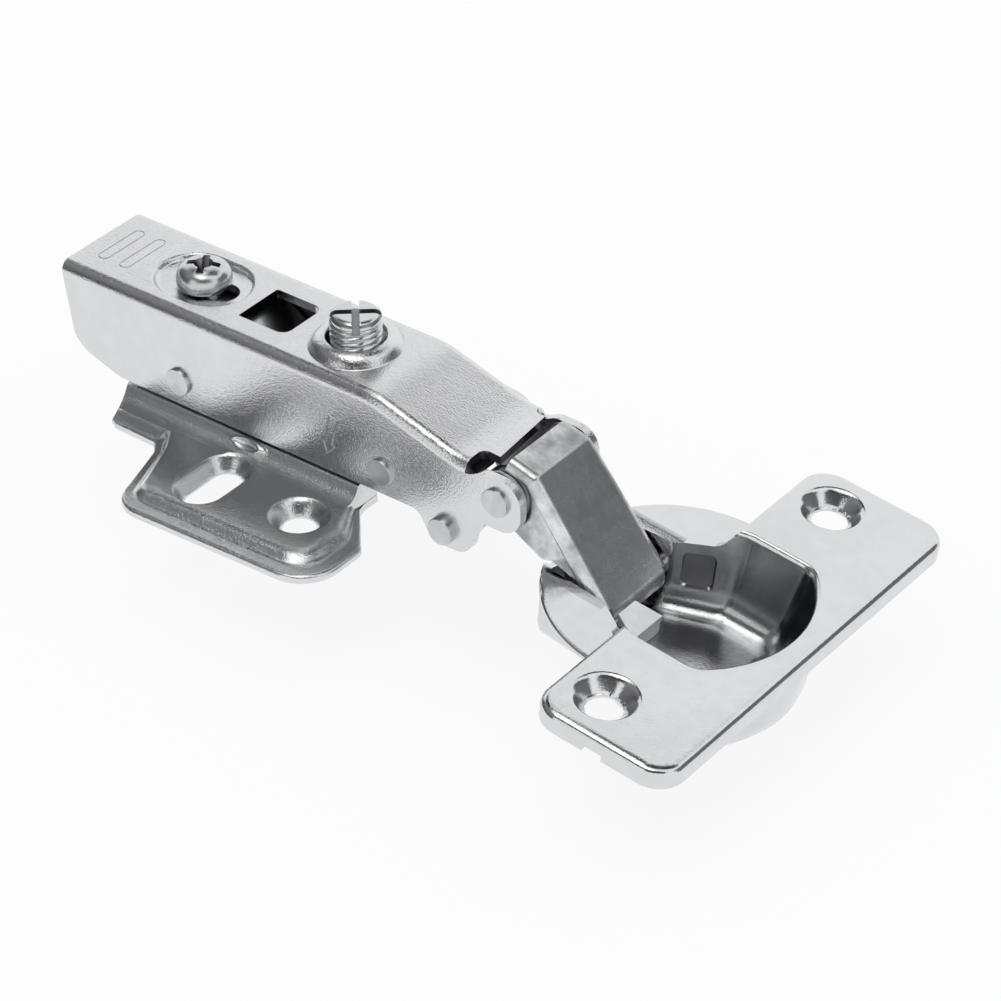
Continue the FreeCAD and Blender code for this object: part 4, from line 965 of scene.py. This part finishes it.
for node, body, slot_name, material in (
        ("slide_bracket", "base", "nickel_sheet", bracket_nickel),
        ("lever_pin", "base", "pin_steel", rivet_steel),
        ("clip_lever", "clip_lever", "nickel_sheet", bracket_nickel),
        ("screw_shoe", "depth_slide", "nickel_sheet", bracket_nickel),
        ("closing_spring", "arm", "spring_steel", spring_blue),
        ("link_washer_near", "arm", "washer_steel", washer_dull),
        ("link_washer_far", "arm", "washer_steel", washer_dull),
        ("inner_link", "inner_link", "dark_link", link_dark),
        ("cup_outer_pin", "cup", "pin_steel", rivet_steel),
        ("cup_inner_pin", "cup", "pin_steel", rivet_steel),
        ("cup_tab", "cup", "zinc_tab", tab_zinc)):
    dressed(node, body, material)


# Camera

def set_camera():
    az, el, roll = (math.radians(v) for v in (38.091, 35.325, -0.719))
    back = Vector((math.sin(az) * math.cos(el), -math.cos(az) * math.cos(el), math.sin(el)))
    right = Vector((math.cos(az), math.sin(az), 0))
    up = back.cross(right)
    side = right * math.cos(roll) + up * math.sin(roll)
    top = up * math.cos(roll) - right * math.sin(roll)
    turn = Matrix((side, top, back)).transposed().to_4x4()
    lens = bpy.data.cameras.new("camera")
    lens.lens = 144.8
    lens.sensor_width = 36
    lens.clip_start = 0.02
    camera = bpy.data.objects.new("camera", lens)
    scene.collection.objects.link(camera)
    camera.matrix_world = Matrix.Translation(Vector((276.637, -327.439, 298.648)) * MM) @ turn
    scene.camera = camera


# Floor, world, dark flags and lamps

def seen_directly(tree):
    """One for camera, glossy and transmission rays, nought for the rest."""
    path = tree.nodes.new("ShaderNodeLightPath")
    seen = maths(tree, "MAXIMUM", path.outputs["Is Camera Ray"], path.outputs["Is Glossy Ray"])
    return maths(tree, "MAXIMUM", seen, path.outputs["Is Transmission Ray"])


def set_world():
    """White where it is seen or mirrored, a little under that as a light."""
    world = bpy.data.worlds.new("studio")
    world.use_nodes = True
    tree = world.node_tree
    sky = tree.nodes["Background"]
    sky.inputs["Color"].default_value = (1, 1, 1, 1)
    seen = seen_directly(tree)
    strength = maths(tree, "MULTIPLY_ADD", seen, 0.22, 0.78)
    tree.links.new(strength, sky.inputs["Strength"])
    scene.world = world


def set_floor(level):
    floor = new_piece("floor", [(-4, -4, level), (4, -4, level), (4, 4, level), (-4, 4, level)],
                      [(0, 1, 2, 3)])
    material = bpy.data.materials.new("studio_floor")
    material.use_nodes = True
    tree = material.node_tree
    surface = tree.nodes["Principled BSDF"]
    surface.inputs["Base Color"].default_value = (0.94, 0.94, 0.94, 1)
    surface.inputs["Roughness"].default_value = 0.95
    surface.inputs["Specular IOR Level"].default_value = 0.0
    glow = tree.nodes.new("ShaderNodeEmission")
    mix = tree.nodes.new("ShaderNodeMixShader")
    tree.links.new(maths(tree, "MULTIPLY", seen_directly(tree), 0.86), mix.inputs["Fac"])
    tree.links.new(surface.outputs["BSDF"], mix.inputs[1])
    tree.links.new(glow.outputs["Emission"], mix.inputs[2])
    tree.links.new(mix.outputs["Shader"], tree.nodes["Material Output"].inputs["Surface"])
    floor.data.materials.append(material)


def direction(azimuth, elevation):
    a = math.radians(azimuth)
    e = math.radians(elevation)
    return Vector((math.cos(a) * math.cos(e), math.sin(a) * math.cos(e), math.sin(e)))


def dark_flag(name, azimuths, elevations, shades):
    """Curved dark board that metal mirrors and the camera doesn't see.

    shades are its tones, each with its height in degrees up."""
    points = []
    faces = []
    across = 24
    up = 16
    for i in range(across + 1):
        for j in range(up + 1):
            azimuth = azimuths[0] + (azimuths[1] - azimuths[0]) * i / across
            elevation = elevations[0] + (elevations[1] - elevations[0]) * j / up
            points.append(direction(azimuth, elevation) * FLAG_AWAY)
    for i in range(across):
        for j in range(up):
            k = i * (up + 1) + j
            faces.append((k, k + 1, k + up + 2, k + up + 1))
    flag = new_piece(name, points, faces)
    material = bpy.data.materials.new(name)
    material.use_nodes = True
    tree = material.node_tree
    tree.nodes.remove(tree.nodes["Principled BSDF"])
    place = tree.nodes.new("ShaderNodeTexCoord")
    split = tree.nodes.new("ShaderNodeSeparateXYZ")
    tree.links.new(place.outputs["Object"], split.inputs["Vector"])
    height = maths(tree, "DIVIDE", split.outputs["Z"], FLAG_AWAY)
    tone = tree.nodes.new("ShaderNodeFloatCurve")
    curve = tone.mapping.curves[0]
    curve.points[0].location = (0.0, shades[0][1])
    curve.points[1].location = (1.0, shades[-1][1])
    for degrees, shade in shades:
        curve.points.new(math.sin(math.radians(degrees)), shade)
    tone.mapping.update()
    tree.links.new(height, tone.inputs["Value"])
    glow = tree.nodes.new("ShaderNodeEmission")
    tree.links.new(tone.outputs["Value"], glow.inputs["Color"])
    tree.links.new(glow.outputs["Emission"], tree.nodes["Material Output"].inputs["Surface"])
    flag.data.materials.append(material)
    flag.visible_camera = False
    flag.visible_shadow = False
    flag.visible_diffuse = False


def soft_lamp(name, azimuth, elevation, away, size, power):
    lamp = bpy.data.lights.new(name, "AREA")
    lamp.shape = "SQUARE"
    lamp.size = size
    lamp.energy = power
    lamp.color = (1, 1, 1)
    thing = bpy.data.objects.new(name, lamp)
    scene.collection.objects.link(thing)
    aim = direction(azimuth, elevation)
    thing.location = aim * away
    thing.rotation_mode = "QUATERNION"
    thing.rotation_quaternion = aim.to_track_quat("Z", "Y")


FLOOR_LEVEL = -0.0135
FLAG_AWAY = 0.9
set_camera()
set_world()
set_floor(FLOOR_LEVEL)
FRONT = ((4, 0.28), (14, 0.07), (24, 0.14), (35, 0.2), (47, 0.26), (56, 0.24), (63, 0.04))
SIDE = ((5, 0.2), (35, 0.13), (62, 0.045))
dark_flag("flag_back_left", (134, 168), (42, 66), ((42, 0.05), (66, 0.05)))
dark_flag("flag_front_left", (-192, -113), (0, 64), FRONT)
dark_flag("flag_front_top", (-113, -88), (44, 64), SIDE)
dark_flag("flag_front_right", (-88, -15), (31, 61), SIDE)
dark_flag("flag_back_right", (10, 66), (0, 38), SIDE)
dark_flag("flag_high", (40, 125), (54, 86), ((54, 0.05), (86, 0.05)))
soft_lamp("key", -100, 72, 1.1, 0.6, 1.35)
soft_lamp("fill", 100, 70, 1.2, 0.5, 0.9)

view = scene.view_settings
view.view_transform = "Standard"
